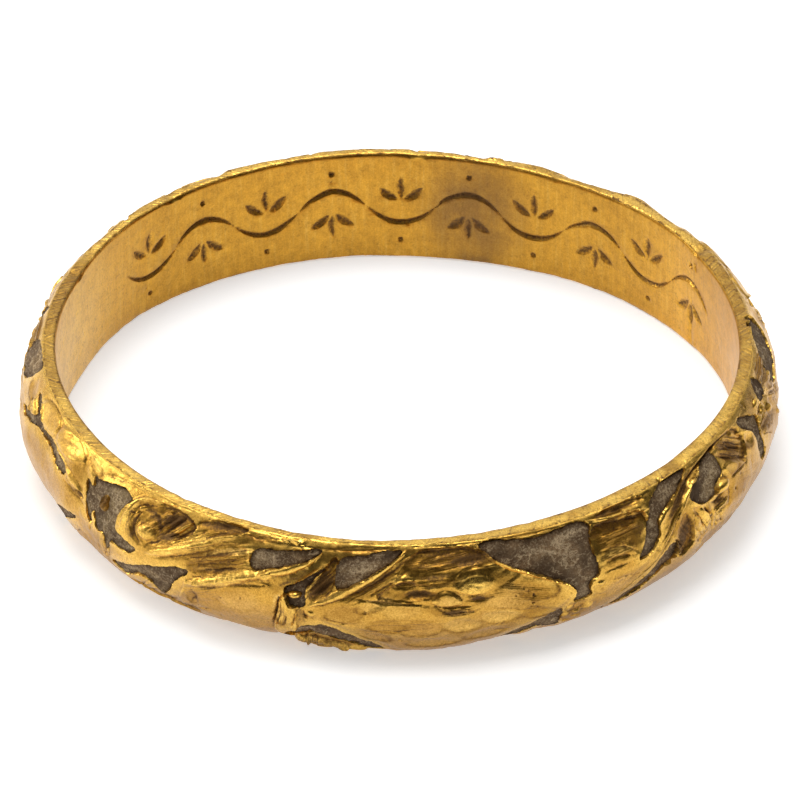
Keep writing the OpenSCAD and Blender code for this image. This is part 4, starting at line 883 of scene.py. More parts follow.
class Relief:
    """Heights over the face in mm, and the tables carved into them one after the other."""

    def __init__(self, hoop, carving):
        self.hoop = hoop
        self.carving = carving
        shape = (FACE_ROWS, COLUMNS)
        seed = carving.wear_seed
        # the half away from 180 to 360 wanders more, so that it isn't a copy
        away = 0.5 + 0.5 * np.sin(np.radians(hoop.angles))[None, :]
        wander = WANDER_NEAR + WANDER_FAR * ramp(away, 0.5, 0.75)
        self.slide, self.lift = (
            wander * grain(shape, (40, 60), seed + k) + TREMBLE * grain(shape, (6, 6), seed + k + 1)
            for k in (1, 3))
        self.rough = grain(shape, (7, 7), seed + 5)
        self.height = UNEVEN * grain(shape, (30, 40), seed + 6)
        self.bend = grain(shape, (14, 14), seed + 7)
        # what the material needs to know of the cuts, each over the whole face
        self.scored, self.across, self.walls, self.crease, self.tone = (np.zeros(shape) for _ in range(5))

    def places(self, low, high, pad):
        """For each repeat, the window of a box of flat points and its coordinates shifted by the wander."""
        for turn in REPEATS:
            shift = np.array([self.hoop.across(turn), 0])
            grid, x, y = self.hoop.window(low + shift, high + shift, pad + WANDER_ROOM)
            yield grid, x - shift[0] + self.slide[grid], y + self.lift[grid]

    def ovals(self, place, half, turn, room=1.0):
        """For each repeat, the window round a turned oval, the way from its centre and its squared reach."""
        centre = self.hoop.flat([place])[0]
        reach = room * max(half)
        for grid, x, y in self.places(centre - reach, centre + reach, 0):
            yield grid, x - centre[0], y - centre[1], oval(x, y, centre, half, turn)

    def swell(self, row):
        """Bell shaped rise: amount times exp(-2 q), q the squared reach of the oval."""
        angle, z, a, b, turn, rise = row
        for grid, _, _, q in self.ovals((angle, z), (a, b), turn, 1.6):
            self.height[grid] += rise * np.exp(-2 * q)

    def leaf(self, row):
        """Pillow: rise times sqrt(t (2 - t)), t the distance from the outline over the edge's width, up to 1.

        All of it lies a small step lower, which draws its outline.
        """
        rise, edge, outline = row
        outline = rounded(self.hoop.flat(outline))
        for grid, x, y in self.places(outline.min(0), outline.max(0), 0):
            t = np.clip(inside_distance(outline, x, y) / edge, 0, 1)
            self.height[grid] += rise * np.sqrt(t * (2 - t)) - LEAF_STEP * (t > 0)

    def sink(self, outline, depth):
        """Goes down to a rough floor inside an outline, over a narrow wall.

        The wall is kept too, as 4 i (1 - i) with i the share of the way down, for the dirt and painted shade
        that lie on it.
        """
        outline = rounded(self.hoop.flat(outline))
        for grid, x, y in self.places(outline.min(0), outline.max(0), 0):
            inside = inside_distance(outline, x, y) + CELL_WOBBLE * self.rough[grid]
            inside = ramp(inside, -0.3 * CELL_WALL, 0.7 * CELL_WALL)
            floor = np.minimum(self.height[grid], -depth + CELL_ROUGH * self.rough[grid])
            self.height[grid] += (floor - self.height[grid]) * inside
            # dirt and painted shade on the cell's wall
            self.walls[grid] = np.maximum(self.walls[grid], CELL_DIRT_AND_SHADE * 4 * inside * (1 - inside))

    def slant(self, depth, toward, outline):
        """Cuts down to a plane that falls from one side of an outline to depth on the side toward."""
        outline = rounded(self.hoop.flat(outline))
        way = np.array([math.cos(math.radians(toward)), math.sin(math.radians(toward))])
        along = outline @ way
        for grid, x, y in self.places(outline.min(0), outline.max(0), 0):
            inside = ramp(inside_distance(outline, x, y), *GROUND_EDGE)
            down = np.clip((x * way[0] + y * way[1] - along.min()) / np.ptp(along), 0, 1)
            plane = GROUND_START - (depth + GROUND_START) * down + GROUND_ROUGH * self.rough[grid]
            floor = np.minimum(self.height[grid], plane)
            self.height[grid] += (floor - self.height[grid]) * inside

    def mark(self, row):
        """Cut, depth times v deep, or ridge, depth times sqrt(v (2 - v)) high, v being 1 - d / w off a line.

        The width w swells along the line by sin(pi t) to the 0.6. Wear has left only a share of the depth of
        a cut, and the dirt and painted shade in it are kept with those of the cells' walls.
        """
        width, depth, points = row
        line = rounded(self.hoop.flat(points), 2, closed=False)
        for grid, x, y in self.places(line.min(0), line.max(0), width):
            d, t = line_distance(line, x, y)
            w = width * np.maximum(np.sin(np.pi * np.clip(t, 0, 1)), 0) ** 0.6 + TINY
            v = np.clip(1 - d / w, 0, 1)
            swelling = w / width
            if depth > 0:
                self.height[grid] -= MARK_LEFT * self.carving.cuts * depth * swelling * v
                dirt_and_shade = min(depth / MARK_FULL, 1) * ramp(v * swelling, *MARK_DIRT)
                self.walls[grid] = np.maximum(self.walls[grid], dirt_and_shade)
            else:
                self.height[grid] -= self.carving.cuts * depth * swelling * np.sqrt(v * (2 - v))

    def lump(self, row):
        """Pebble: rise times sqrt(1 - q), q the squared reach of the oval."""
        angle, z, a, b, turn, rise = row
        for grid, _, _, q in self.ovals((angle, z), (a, b), turn):
            self.height[grid] += rise * np.sqrt(np.clip(1 - q, 0, 1))

    def scoop(self, row, tone):
        """Dish with a crisp edge: depth (1 - q) deep, q the squared reach of a slightly bent oval.

        Its edge, strongest on the lower side, is kept as painted shade, and a tone of its own for the
        colours.
        """
        angle, z, a, b, turn, depth = row
        for grid, _, rise, q in self.ovals((angle, z), (a, b), turn):
            q = q * (1 + SCOOP_BEND * self.bend[grid])
            self.height[grid] -= self.carving.cuts * depth * np.clip(1 - q, 0, 1)
            # painted shade along the scoop's edge, strongest on its lower side
            edge = np.exp(-((np.sqrt(np.maximum(q, 0)) - 1) * min(a, b) / SCOOP_EDGE) ** 2)
            low = ramp(-rise, -0.5 * b, 0.5 * b)
            shows = min(depth / SCOOP_FULL, 1)
            crease = shows * edge * (SCOOP_TOP + (1 - SCOOP_TOP) * low)
            self.crease[grid] = np.maximum(self.crease[grid], crease)
            self.tone[grid] = np.where(q < 1, shows * tone, self.tone[grid])

    def hatch(self, row, seed):
        """Parallel lines: an uneven row of cuts read off at the distance across them, fading by exp(-2 q^2).

        The distance and the fading are kept too, so that the material can score finer lines the same way.
        """
        angle, z, a, b, turn, spacing, depth = row
        row_of_cuts = np.random.default_rng(seed).uniform(-1, 1, HATCH_CUTS)
        row_of_cuts[::2] -= HATCH_DEEPER
        c, s = math.cos(math.radians(turn)), math.sin(math.radians(turn))
        for grid, x, y, q in self.ovals((angle, z), (a, b), turn, 1.2):
            across = c * y - s * x + 0.5 * self.slide[grid]
            lines = np.interp(across / (0.5 * spacing) + HATCH_CUTS / 2, np.arange(HATCH_CUTS), row_of_cuts)
            fade = np.exp(-2 * q ** 2)
            self.height[grid] += self.carving.cuts * depth * lines * fade
            mine = fade > self.scored[grid]
            self.across[grid] = np.where(mine, across + HATCH_APART * (seed % 17), self.across[grid])
            self.scored[grid] = np.maximum(fade, self.scored[grid])

    def pit(self, row):
        """Round pit: depth times (1 - q)."""
        angle, z, radius, depth = row
        for grid, _, _, q in self.ovals((angle, z), (radius, radius), 0):
            self.height[grid] -= depth * np.clip(1 - q, 0, 1)

    def paint(self, rows):
        """Colour patches on the face: 1 - the product of (1 - strength exp(-1.5 q^2)) of them all."""
        clear = np.ones(self.height.shape)
        for angle, z, a, b, turn, strength in rows:
            for grid, _, _, q in self.ovals((angle, z), (a, b), turn, 1.4):
                clear[grid] *= 1 - strength * np.exp(-1.5 * q ** 2)
        return 1 - clear

    def scratch(self, count, seed):
        """Fine straight V shaped scratches at random places, deepest half way along."""
        rng = np.random.default_rng(seed)
        start = np.stack([rng.uniform(0, 360, count), rng.uniform(*SCRATCH_HEIGHTS, count)], 1)
        way = rng.uniform(0, 2 * np.pi, count)
        size, width, depth = (
            rng.uniform(*span, count) for span in (SCRATCH_LENGTHS, SCRATCH_WIDTHS, SCRATCH_DEPTHS))
        for p, a, length, w, d in zip(start, way, size, width, depth):
            first = self.hoop.flat([p])[0]
            line = np.stack([first, first + length * np.array([math.cos(a), math.sin(a)])])
            grid, x, y = self.hoop.window(line.min(0), line.max(0), w)
            if len(grid[0]):
                far, t = line_distance(line, x, y)
                self.height[grid] -= d * np.clip(1 - far / w, 0, 1) * np.sin(np.pi * t)

    def carve(self):
        """All tables in the order in which the tools would have worked."""
        seed = self.carving.wear_seed
        for row in SWELLS:
            self.swell(row)
        for row in LEAVES:
            self.leaf(row)
        tones = np.random.default_rng(seed + 90).uniform(-1, 1, len(SCOOPS))
        for row, tone in zip(SCOOPS, tones):
            self.scoop(row, tone)
        for row in GROUNDS:
            self.slant(*row)
        for i, row in enumerate(HATCHES):
            self.hatch(row, seed + 100 + i)
        for row in MARKS:
            self.mark(row)
        for _, outline in CELLS:
            self.sink(outline, self.carving.cell_depth / MM)
        for row in LUMPS:
            self.lump(row)
        for row in PITS:
            self.pit(row)
        self.scratch(SCRATCHES, seed + 20)
        return self.height


def stem_lines(bore):
    """Lines of the ornament in a hole of radius bore in mm: [width in mm, points [(angle, height)]].

    The stem is a chain of arcs that bend up and down in turn, each with a tick beyond it and a spray of three
    leaves in its hollow.
    """
    lines = []
    half = (STEM_TO - STEM_FROM) / (2 * STEM_WAVES)
    t = np.linspace(-1, 1, 9)
    for i in range(2 * STEM_WAVES):
        middle = STEM_FROM + (i + 0.5) * half
        side = 1 if i % 2 == 0 else -1
        lines.append((STEM_WIDTH, np.stack([middle + t * half / 2, side * STEM_RISE * (1 - t ** 2)], 1)))
        tick = [(middle + k * TICK_HALF, side * (TICK_TOP - abs(k) * TICK_FALL)) for k in (-1, 0, 1)]
        lines.append((TICK_WIDTH, tick))
        for lean in (-SPRAY_LEAN, 0.0, SPRAY_LEAN):
            a = math.radians(lean)
            reach = np.array([0.14, 0.55, 1.0])[:, None] * SPRAY_LEAF
            bow = np.array([0, SPRAY_BOW * np.sign(lean), 0])[:, None]
            foot = np.array([0, -side * SPRAY_FOOT])
            way = np.array([math.sin(a), -side * math.cos(a)])
            p = foot + reach * way + bow * np.array([way[1], -way[0]])
            lines.append((LEAF_WIDTH, p * [math.degrees(1 / bore), 1] + [middle, 0]))
    return lines


def engrave(hoop, depth_mm, seed):
    """Depths over the wall of the hole: the ornament, the closing seam, fine scratches and dents.

    A groove is V shaped, deep (1 - d / w), its width w swelling by sin(pi t) to the 0.7 along it.
    """
    shape = (BORE_ROWS, COLUMNS)
    depth = BORE_UNEVEN * grain(shape, (14, 60), seed + 30) + BORE_STREAKS * grain(shape, (3, 30), seed + 31)
    cut = np.zeros(shape)
    scale = math.radians(1) * hoop.bore
    step = 360 / COLUMNS
    y = hoop.wall_z[:, None]
    wobble = GROOVE_WOBBLE * grain(shape, (10, 26), seed + 32)

    def groove(points, width, deep):
        p = rounded(np.asarray(points, float) * [scale, 1], 1, closed=False)
        low, high = p[:, 0].min() - width * 2, p[:, 0].max() + width * 2
        columns = np.arange(math.floor(low / scale / step), math.ceil(high / scale / step))
        grid = np.ix_(np.arange(BORE_ROWS), columns % COLUMNS)
        x = (columns * step * scale)[None, :] + wobble[grid]
        d, t = line_distance(p, x, y + wobble[grid])
        w = width * np.maximum(np.sin(np.pi * np.clip(t * 0.94 + 0.03, 0, 1)), 0) ** 0.7 + TINY
        cut[grid] = np.maximum(cut[grid], deep * (w / width) * np.clip(1 - d / w, 0, 1))

    for width, points in stem_lines(hoop.bore):
        groove(points, width, depth_mm)
    for width, deep, points in SEAM:
        groove([(SEAM_ANGLE + a, z) for a, z in points], width, deep)
    rng = np.random.default_rng(seed + 33)
    for _ in range(BORE_SCRATCHES):
        a, z = rng.uniform(0, 360), rng.uniform(*BORE_HEIGHTS)
        lean = rng.uniform(-1, 1) * 0.3
        far = rng.uniform(0.5, 5)
        groove([(a, z), (a + far, z + lean)], 0.045, rng.uniform(0.004, 0.011))
    for _ in range(BORE_DENTS):
        a, z = rng.uniform(0, 360), rng.uniform(*BORE_HEIGHTS)
        groove([(a, z), (a + 0.4, z + rng.uniform(-0.1, 0.1))], 0.05, rng.uniform(0.01, 0.03))
    return depth - cut, cut


def off_angle(angles, angle):
    """Degrees from an angle the short way round, from -180 to 180."""
    return (angles - angle + 180) % 360 - 180


def nicked(hoop, field):
    """Dents in the rims and a few rows beside them: depth times exp(-(distance / half width)^2)."""
    rows = {1: np.arange(FACE_ROWS - 4, FACE_ROWS + RIM_ROWS + 2),
            -1: np.concatenate([np.arange(len(hoop.line) - RIM_ROWS - 2, len(hoop.line)), np.arange(4)])}
    for angle, side, width, depth in NICKS:
        bell = np.exp(-(hoop.across(off_angle(hoop.angles, angle)) / (width / 2)) ** 2)
        field[rows[side]] -= depth * bell[None, :]
    return field


def grid_faces(rows, columns):
    """Quads of a grid that closes both ways, wound so that they face outwards."""
    r = np.arange(rows)[:, None]
    c = np.arange(columns)[None, :]
    r1, c1 = (r + 1) % rows, (c + 1) % columns
    corners = (r * columns + c, r * columns + c1, r1 * columns + c1, r1 * columns + c)
    return np.stack(corners, -1).reshape(-1, 4)


def mesh_object(name, points, faces):
    """Object at the origin with that mesh, points in metres and faces all of four corners."""
    mesh = bpy.data.meshes.new(name)
    mesh.vertices.add(len(points))
    mesh.vertices.foreach_set("co", np.ascontiguousarray(points, np.float32).ravel())
    mesh.loops.add(faces.size)
    mesh.loops.foreach_set("vertex_index", np.ascontiguousarray(faces, np.int32).ravel())
    mesh.polygons.add(len(faces))
    mesh.polygons.foreach_set("loop_start", np.arange(0, faces.size, 4, dtype=np.int32))
    mesh.polygons.foreach_set("use_smooth", np.ones(len(faces), bool))
    mesh.update(calc_edges=True)
    mesh.validate()
    obj = bpy.data.objects.new(name, mesh)
    bpy.context.scene.collection.objects.link(obj)
    return obj


def add_values(mesh, name, values):
    """A number for each vertex, which the materials read by name."""
    layer = mesh.attributes.new(name, "FLOAT", "POINT")
    layer.data.foreach_set("value", np.ascontiguousarray(values, np.float32).ravel())


def thinned(obj, triangles):
    """Collapses the object's mesh to a number of triangles and carries its vertex values over."""
    obj.data.calc_loop_triangles()
    thin = obj.modifiers.new("Thin", "DECIMATE")
    thin.ratio = min(1.0, triangles / len(obj.data.loop_triangles))
    thin.use_collapse_triangulate = True
    depsgraph = bpy.context.evaluated_depsgraph_get()
    mesh = bpy.data.meshes.new_from_object(obj.evaluated_get(depsgraph), depsgraph=depsgraph)
    obj.modifiers.clear()
    old, obj.data = obj.data, mesh
    mesh.name = obj.name
    bpy.data.meshes.remove(old)
    mesh.set_sharp_from_angle(angle=math.radians(SHARP_DEGREES))


def scaled(colour, factor):
    """A colour made darker or lighter by a factor."""
    return tuple(factor * c for c in colour)


class Nodes:
    """Short ways to add and link the nodes of a material."""

    def __init__(self, name):
        self.material = bpy.data.materials.new(name)
        self.material.use_nodes = True
        self.tree = self.material.node_tree
        self.tree.nodes.clear()
        self.shader = self.add("ShaderNodeBsdfPrincipled")
        out = self.add("ShaderNodeOutputMaterial")
        self.link(self.shader.outputs["BSDF"], out.inputs["Surface"])
        self.place = self.add("ShaderNodeTexCoord").outputs["Object"]

    def add(self, kind, **settings):
        node = self.tree.nodes.new(kind)
        for key, value in settings.items():
            setattr(node, key, value)
        return node

    def link(self, source, target):
        self.tree.links.new(source, target)

    def fill(self, socket, value):
        if isinstance(value, bpy.types.NodeSocket):
            self.link(value, socket)
        else:
            socket.default_value = (*value, 1.0) if hasattr(value, "__len__") and len(value) == 3 else value

    def value(self, name):
        """A vertex value of the mesh."""
        return self.add("ShaderNodeAttribute", attribute_name=name).outputs["Fac"]

    def math(self, operation, a, b=0.0, clamp=False):
        node = self.add("ShaderNodeMath", operation=operation, use_clamp=clamp)
        self.fill(node.inputs[0], a)
        self.fill(node.inputs[1], b)
        return node.outputs[0]

    def times(self, a, b, clamp=False):
        return self.math("MULTIPLY", a, b, clamp)

    def put(self, node, **numbers):
        """Constant inputs of a node, with _ for the spaces in their names."""
        for name, number in numbers.items():
            node.inputs[name.replace("_", " ")].default_value = number

    def noise(self, size, detail=4.0, rough=0.55, stretch=(1, 1, 1)):
        """Noise whose lumps are about size mm across, drawn out along the axes by stretch."""
        turn = self.add("ShaderNodeMapping")
        self.link(self.place, turn.inputs["Vector"])
        self.put(turn, Scale=tuple(1 / (size * MM * s) for s in stretch))
        node = self.add("ShaderNodeTexNoise")
        self.link(turn.outputs["Vector"], node.inputs["Vector"])
        self.put(node, Scale=1.0, Detail=detail, Roughness=rough)
        return node.outputs["Fac"]

    def lines(self, name, spacing):
        """Uneven lines about spacing mm apart along which the vertex value, in mm, stays the same."""
        node = self.add("ShaderNodeTexNoise", noise_dimensions="1D")
        self.link(self.math("DIVIDE", self.value(name), spacing), node.inputs["W"])
        self.put(node, Scale=1.0, Detail=2.0)
        return node.outputs["Fac"]

    def remap(self, value, low, high, to_low=0.0, to_high=1.0):
        node = self.add("ShaderNodeMapRange", clamp=True)
        self.fill(node.inputs["Value"], value)
        self.put(node, From_Min=low, From_Max=high, To_Min=to_low, To_Max=to_high)
        return node.outputs["Result"]

    def mix(self, share, a, b, blend="MIX"):
        node = self.add("ShaderNodeMix", data_type="RGBA", blend_type=blend)
        self.fill(node.inputs["Factor"], share)
        self.fill(node.inputs[6], a)
        self.fill(node.inputs[7], b)
        return node.outputs[2]

    def bump(self, height, distance_mm, strength, before=None):
        node = self.add("ShaderNodeBump")
        self.link(height, node.inputs["Height"])
        self.put(node, Distance=distance_mm * MM, Strength=strength)
        if before is not None:
            self.link(before, node.inputs["Normal"])
        return node.outputs["Normal"]


def gold_material(colours):
    """Worn high-carat gold: brown grime in the cuts, painted shade as deeper gold in hollows and dark places,
    a painted floor reflection as pale gold on the bulge, and painted highlights as bright gold on rims and
    ridges.
    """
    n = Nodes("gold")
    cloud = n.noise(0.9, 5)
    patch = n.noise(0.25, 4)
    speck = n.noise(0.07, 3, 0.6)
    fine = n.noise(0.03, 3, 0.65)
    grime_and_shade, shade_and_tone, pale, wear_and_highlight, stain_and_sheen, scored, drawn = (
        n.value(x) for x in ("grime_and_shade", "shade_and_tone", "pale", "wear_and_highlight", "stain_and_sheen", "scored", "drawn"))
    lines = n.lines("across", 0.045)
    # polished gold, paler on the bulge as a painted reflection of the floor and in pale patches, yellower and
    # streaked up and down in the hole
    base = n.mix(n.remap(cloud, 0.35, 0.7), colours.gold, scaled(colours.gold, 0.82))
    base = n.mix(n.times(pale, 0.6), base, colours.pale_sheen_gold)
    base = n.mix(n.times(drawn, 0.85), base, colours.wall_gold)
    drawing = n.noise(0.09, 3, 0.6, (1, 1, 22))
    base = n.mix(n.times(drawn, n.remap(drawing, 0.5, 0.7, 0.0, 0.5)), base, colours.rim_gold)
    base = n.mix(n.times(drawn, n.remap(drawing, 0.48, 0.3, 0.0, 0.45)), base, colours.gold)
    # bright places, from wear and painted highlights, with blotches of duller gold
    base = n.mix(wear_and_highlight, base, colours.rim_gold)
    blotch = n.times(n.remap(n.noise(0.3, 5, 0.65), 0.48, 0.66), n.times(wear_and_highlight, 0.7))
    base = n.mix(blotch, base, colours.gold)
    # painted shade in the hollows, at scoop edges, in dark patches and on the far stretch of the hole, with
    # random tone, and dull specks
    shade = n.times(shade_and_tone, n.remap(patch, 0.3, 0.62, 0.75, 1.1), clamp=True)
    base = n.mix(shade, base, colours.shade_and_dull_gold)
    dull = n.times(n.remap(speck, 0.48, 0.7), n.remap(patch, 0.4, 0.65, 0.15, 0.75))
    base = n.mix(dull, base, colours.shade_and_dull_gold)
    # brown grime, with painted shade on the walls of cells and cuts and at scoop edges, broken up by specks
    # and drawn out along the scored lines
    dirt_and_shade = n.math("ADD", grime_and_shade, n.remap(speck, 0.35, 0.7, -0.22, 0.22))
    dirt_and_shade = n.math("ADD", dirt_and_shade, n.times(scored, n.remap(lines, 0.5, 0.28, 0.0, 0.5)))
    dirt_and_shade = n.times(n.remap(dirt_and_shade, 0.25, 0.85), 0.9)
    base = n.mix(dirt_and_shade, base, colours.grime_and_shade)
    # tarnish from the stains, with painted greying at the left end of the hole
    clouded = n.remap(n.noise(0.5, 5, stretch=(1, 1, 2)), 0.3, 0.6, 0.55, 1.0)
    tarnish_and_sheen = n.times(stain_and_sheen, clouded, clamp=True)
    base = n.mix(tarnish_and_sheen, base, colours.tarnish_and_sheen)
    mottle = n.mix(n.remap(n.noise(0.045, 4, 0.7), 0.34, 0.66), (0.66, 0.6, 0.5), (1.18, 1.2, 1.25))
    base = n.mix(n.remap(drawn, 0.0, 1.0, 0.85, 0.45), base, mottle, "MULTIPLY")
    n.link(base, n.shader.inputs["Base Color"])
    n.link(n.math("SUBTRACT", 1.0, n.times(dirt_and_shade, 0.6)), n.shader.inputs["Metallic"])
    rough = n.math("ADD", n.remap(cloud, 0.3, 0.7, 0.24, 0.34), n.times(dirt_and_shade, 0.35))
    rough = n.math("ADD", rough, n.times(n.math("ADD", shade_and_tone, tarnish_and_sheen), 0.1), clamp=True)
    n.link(rough, n.shader.inputs["Roughness"])
    n.shader.inputs["IOR"].default_value = 1.5
    # fine grain, soft unevenness, strokes up and down the hole and scored lines
    normal = n.bump(fine, 0.0035, 0.8)
    normal = n.bump(n.noise(0.14, 3), 0.01, 0.7, normal)
    normal = n.bump(n.times(n.noise(0.05, 4, 0.6, (1, 1, 14)), drawn), 0.006, 0.6, normal)
    normal = n.bump(n.times(lines, scored), 0.016, 1.0, normal)
    n.link(normal, n.shader.inputs["Normal"])
    return n.material


def enamel_material(colours):
    """Decayed enamel: a matt speckled crust with pale veins, brown at the walls from dirt and painted shade,
    and darker with soot and painted shade in places.
    """
    n = Nodes("enamel")
    tint, edge, soot_and_shade = n.value("tint"), n.value("edge"), n.value("soot_and_shade")
    cloud = n.noise(0.35, 5, 0.6, (2.0, 2.0, 1))
    speck = n.noise(0.06, 5, 0.75)
    streak = n.noise(0.07, 4, 0.6, (1, 1, 7))
    vein = n.math("ABSOLUTE", n.math("SUBTRACT", n.noise(0.45, 7, 0.62, (1.6, 1.6, 1)), 0.5))
    # grey or brown body with darker clouds and streaks, and crust in specks
    base = n.mix(tint, colours.enamel_grey, colours.enamel_brown)
    base = n.mix(n.remap(cloud, 0.38, 0.56, 0.0, 0.9), base, scaled(colours.enamel_brown, 0.45))
    base = n.mix(n.remap(streak, 0.52, 0.36, 0.0, 0.6), base, scaled(colours.enamel_brown, 0.4))
    base = n.mix(n.remap(speck, 0.5, 0.66, 0.0, 0.75), base, colours.enamel_crust)
    # sooty places, darkened also as painted shade where a cell lies in shadow, and crusted places, where the
    # value is above and below 0
    base = n.mix(n.times(n.remap(soot_and_shade, 0.0, 1.0), 0.85), base, scaled(colours.enamel_brown, 0.3))
    crust = n.times(n.remap(soot_and_shade, 0.0, -1.0), n.remap(speck, 0.38, 0.58))
    base = n.mix(n.times(crust, 0.8), base, scaled(colours.enamel_crust, 1.25))
    pale = n.times(n.remap(vein, 0.022, 0.004), n.remap(cloud, 0.55, 0.4))
    base = n.mix(n.times(pale, 0.6), base, scaled(colours.enamel_crust, 1.5))
    # dark pores, and dirt and painted shade along the walls of the cell
    base = n.mix(n.remap(speck, 0.42, 0.3, 0.0, 0.8), base, scaled(colours.enamel_brown, 0.3))
    rim = n.times(edge, n.remap(n.noise(0.15, 4), 0.35, 0.6, 0.5, 1.0))
    base = n.mix(n.times(rim, 0.75), base, scaled(colours.grime_and_shade, 0.35))
    n.link(base, n.shader.inputs["Base Color"])
    n.link(n.remap(speck, 0.3, 0.7, 0.6, 0.9), n.shader.inputs["Roughness"])
    n.shader.inputs["Metallic"].default_value = 0.0
    n.shader.inputs["IOR"].default_value = 1.45
    n.shader.inputs["Specular IOR Level"].default_value = 0.15
    normal = n.bump(speck, 0.03, 0.9)
    normal = n.bump(pale, 0.01, 0.7, normal)
    n.link(normal, n.shader.inputs["Normal"])
    return n.material


def band_field(hoop, relief, engraving, seed):
    """Displacement along the section's normal in mm for each row and column, and the cuts in the hole.

    The face is the relief, which fades out over the first rows of each rim, and the hole is the engraving.
    """
    shape = (len(hoop.line), COLUMNS)
    field = SKIN * grain(shape, (10, 14), seed + 10) + FINE_SKIN * grain(shape, (3.2, 3.2), seed + 12)
    field[hoop.face] += relief.carve()
    for k, left in enumerate(RIM_FADE):
        field[FACE_ROWS + k] += field[FACE_ROWS - 1] * left
        field[-1 - k] += field[0] * left
    field[hoop.wall], cut = engrave(hoop, engraving, seed)
    return nicked(hoop, field), cut


def band_points(hoop, field):
    """Section point plus displacement along the section's normal, swept round Z, in metres.

    x = r cos(angle), y = r sin(angle), with r and z of the displaced section. Wear moves r, and over each rim
    it runs in a straight line from that of the face to that of the hole.
    """
    worn = np.zeros(field.shape)
    worn[hoop.face] = hoop.worn(hoop.angles[None, :], hoop.face_s[:, None])
    worn[hoop.wall] = hoop.off_round()
    fade = np.linspace(1, 0, RIM_ROWS + 2)[1:-1, None]
    worn[hoop.upper] = fade * worn[FACE_ROWS - 1] + (1 - fade) * worn[hoop.wall.start]
    worn[hoop.lower] = fade[::-1] * worn[0] + (1 - fade[::-1]) * worn[hoop.wall.stop - 1]
    r = hoop.line[:, :1] + hoop.normal[:, :1] * field + worn
    z = np.maximum(hoop.line[:, 1:] + hoop.normal[:, 1:] * field + hoop.half, 0)
    a = np.radians(hoop.angles)[None, :]
    return np.stack([r * np.cos(a), r * np.sin(a), z], -1).reshape(-1, 3) * MM


def paint_face(hoop, relief, wide, values):
    """Colours of the face, from its patches, cuts and high places and the tones of its scoops: dirt and wear,
    with painted shade, painted reflections and painted highlights.
    """
    face = hoop.face
    up = hoop.line[face][:, 1:] / hoop.half
    rubbed = relief.paint(CLEAN_PATCHES)
    # dirt, with painted shade on the walls of cells and cuts and at scoop edges
    packed = np.maximum(np.maximum(relief.paint(GRIME_PATCHES), WALL_DIRT_AND_SHADE * relief.walls),
                        SCOOP_EDGE_SHADE * relief.crease)
    grime_and_shade = np.maximum(values["grime_and_shade"][face], packed)
    values["grime_and_shade"][face] = np.maximum(grime_and_shade - RUBBED_OFF * rubbed, 0)
    # painted shade and dark reflections from the dark patches, painted shade at scoop edges and in wide
    # hollows, and random tone
    shade_and_tone = np.maximum(relief.paint(DARK_PATCHES), relief.crease) + TONE_DARK * np.maximum(-relief.tone, 0)
    values["shade_and_tone"][face] = np.clip(shade_and_tone + HOLLOW_SHADE * portion(wide[face], 0, SHADE_FULL), 0, 1)
    # painted reflection of the floor low on the face and painted reflections in the pale patches, and random
    # tone
    pale = 1 - (1 - relief.paint(PALE_PATCHES)) * (1 - LOWER_PALE * ramp(-up, -0.2, 0.6))
    values["pale"][face] = np.clip(pale + TONE_PALE * relief.tone, 0, 1)
    # wear and painted highlights on high places, along the upper edge and in the bright patches, and random
    # tone
    high = HIGH_BRIGHT * portion(-wide[face], 0, HIGH_FULL)
    wear_and_highlight = np.maximum(np.maximum(EDGE_BRIGHT * ramp(up, 0.9, 1.0), high), rubbed)
    values["wear_and_highlight"][face] = np.clip(wear_and_highlight + TONE_BRIGHT * np.maximum(relief.tone, 0), 0, 1)
    values["scored"][face], values["across"][face] = relief.scored, relief.across


def paint_wall(hoop, cut, values):
    """Colours of the hole: dirt in its cuts, stains, a painted reflection that makes its left end brighter
    and greyer, and painted shade on its far and right stretches.
    """
    wall = hoop.wall
    values["drawn"][wall] = 1.0
    values["grime_and_shade"][wall] = CUT_DIRT * portion(cut, 0, CUT_FULL) ** 0.6
    turn = np.radians(hoop.angles)[None, :]
    # painted reflection at the left end of the hole: brighter and greyer gold
    left = ramp(-np.cos(turn), 0.75, 1.0)
    values["wear_and_highlight"][wall] = LEFT_BRIGHT * left
    for angle, height, length, width, strength in STAINS:
        off = off_angle(hoop.angles, angle)[None, :] * math.radians(1) * hoop.bore
        q = (off / length) ** 2 + ((hoop.wall_z[:, None] - height) / width) ** 2
        values["stain_and_sheen"][wall] = np.maximum(values["stain_and_sheen"][wall], strength * np.exp(-1.2 * q ** 2))
    values["stain_and_sheen"][wall] = np.maximum(values["stain_and_sheen"][wall], LEFT_STAIN * left)
    # painted shade on the far and right stretches of the hole
    far, right = ramp(np.sin(turn), 0.3, 0.75), RIGHT_WALL_SHADE * ramp(np.cos(turn), 0.7, 0.95)
    values["shade_and_tone"][wall] = FAR_WALL_SHADE * np.maximum(far, right)


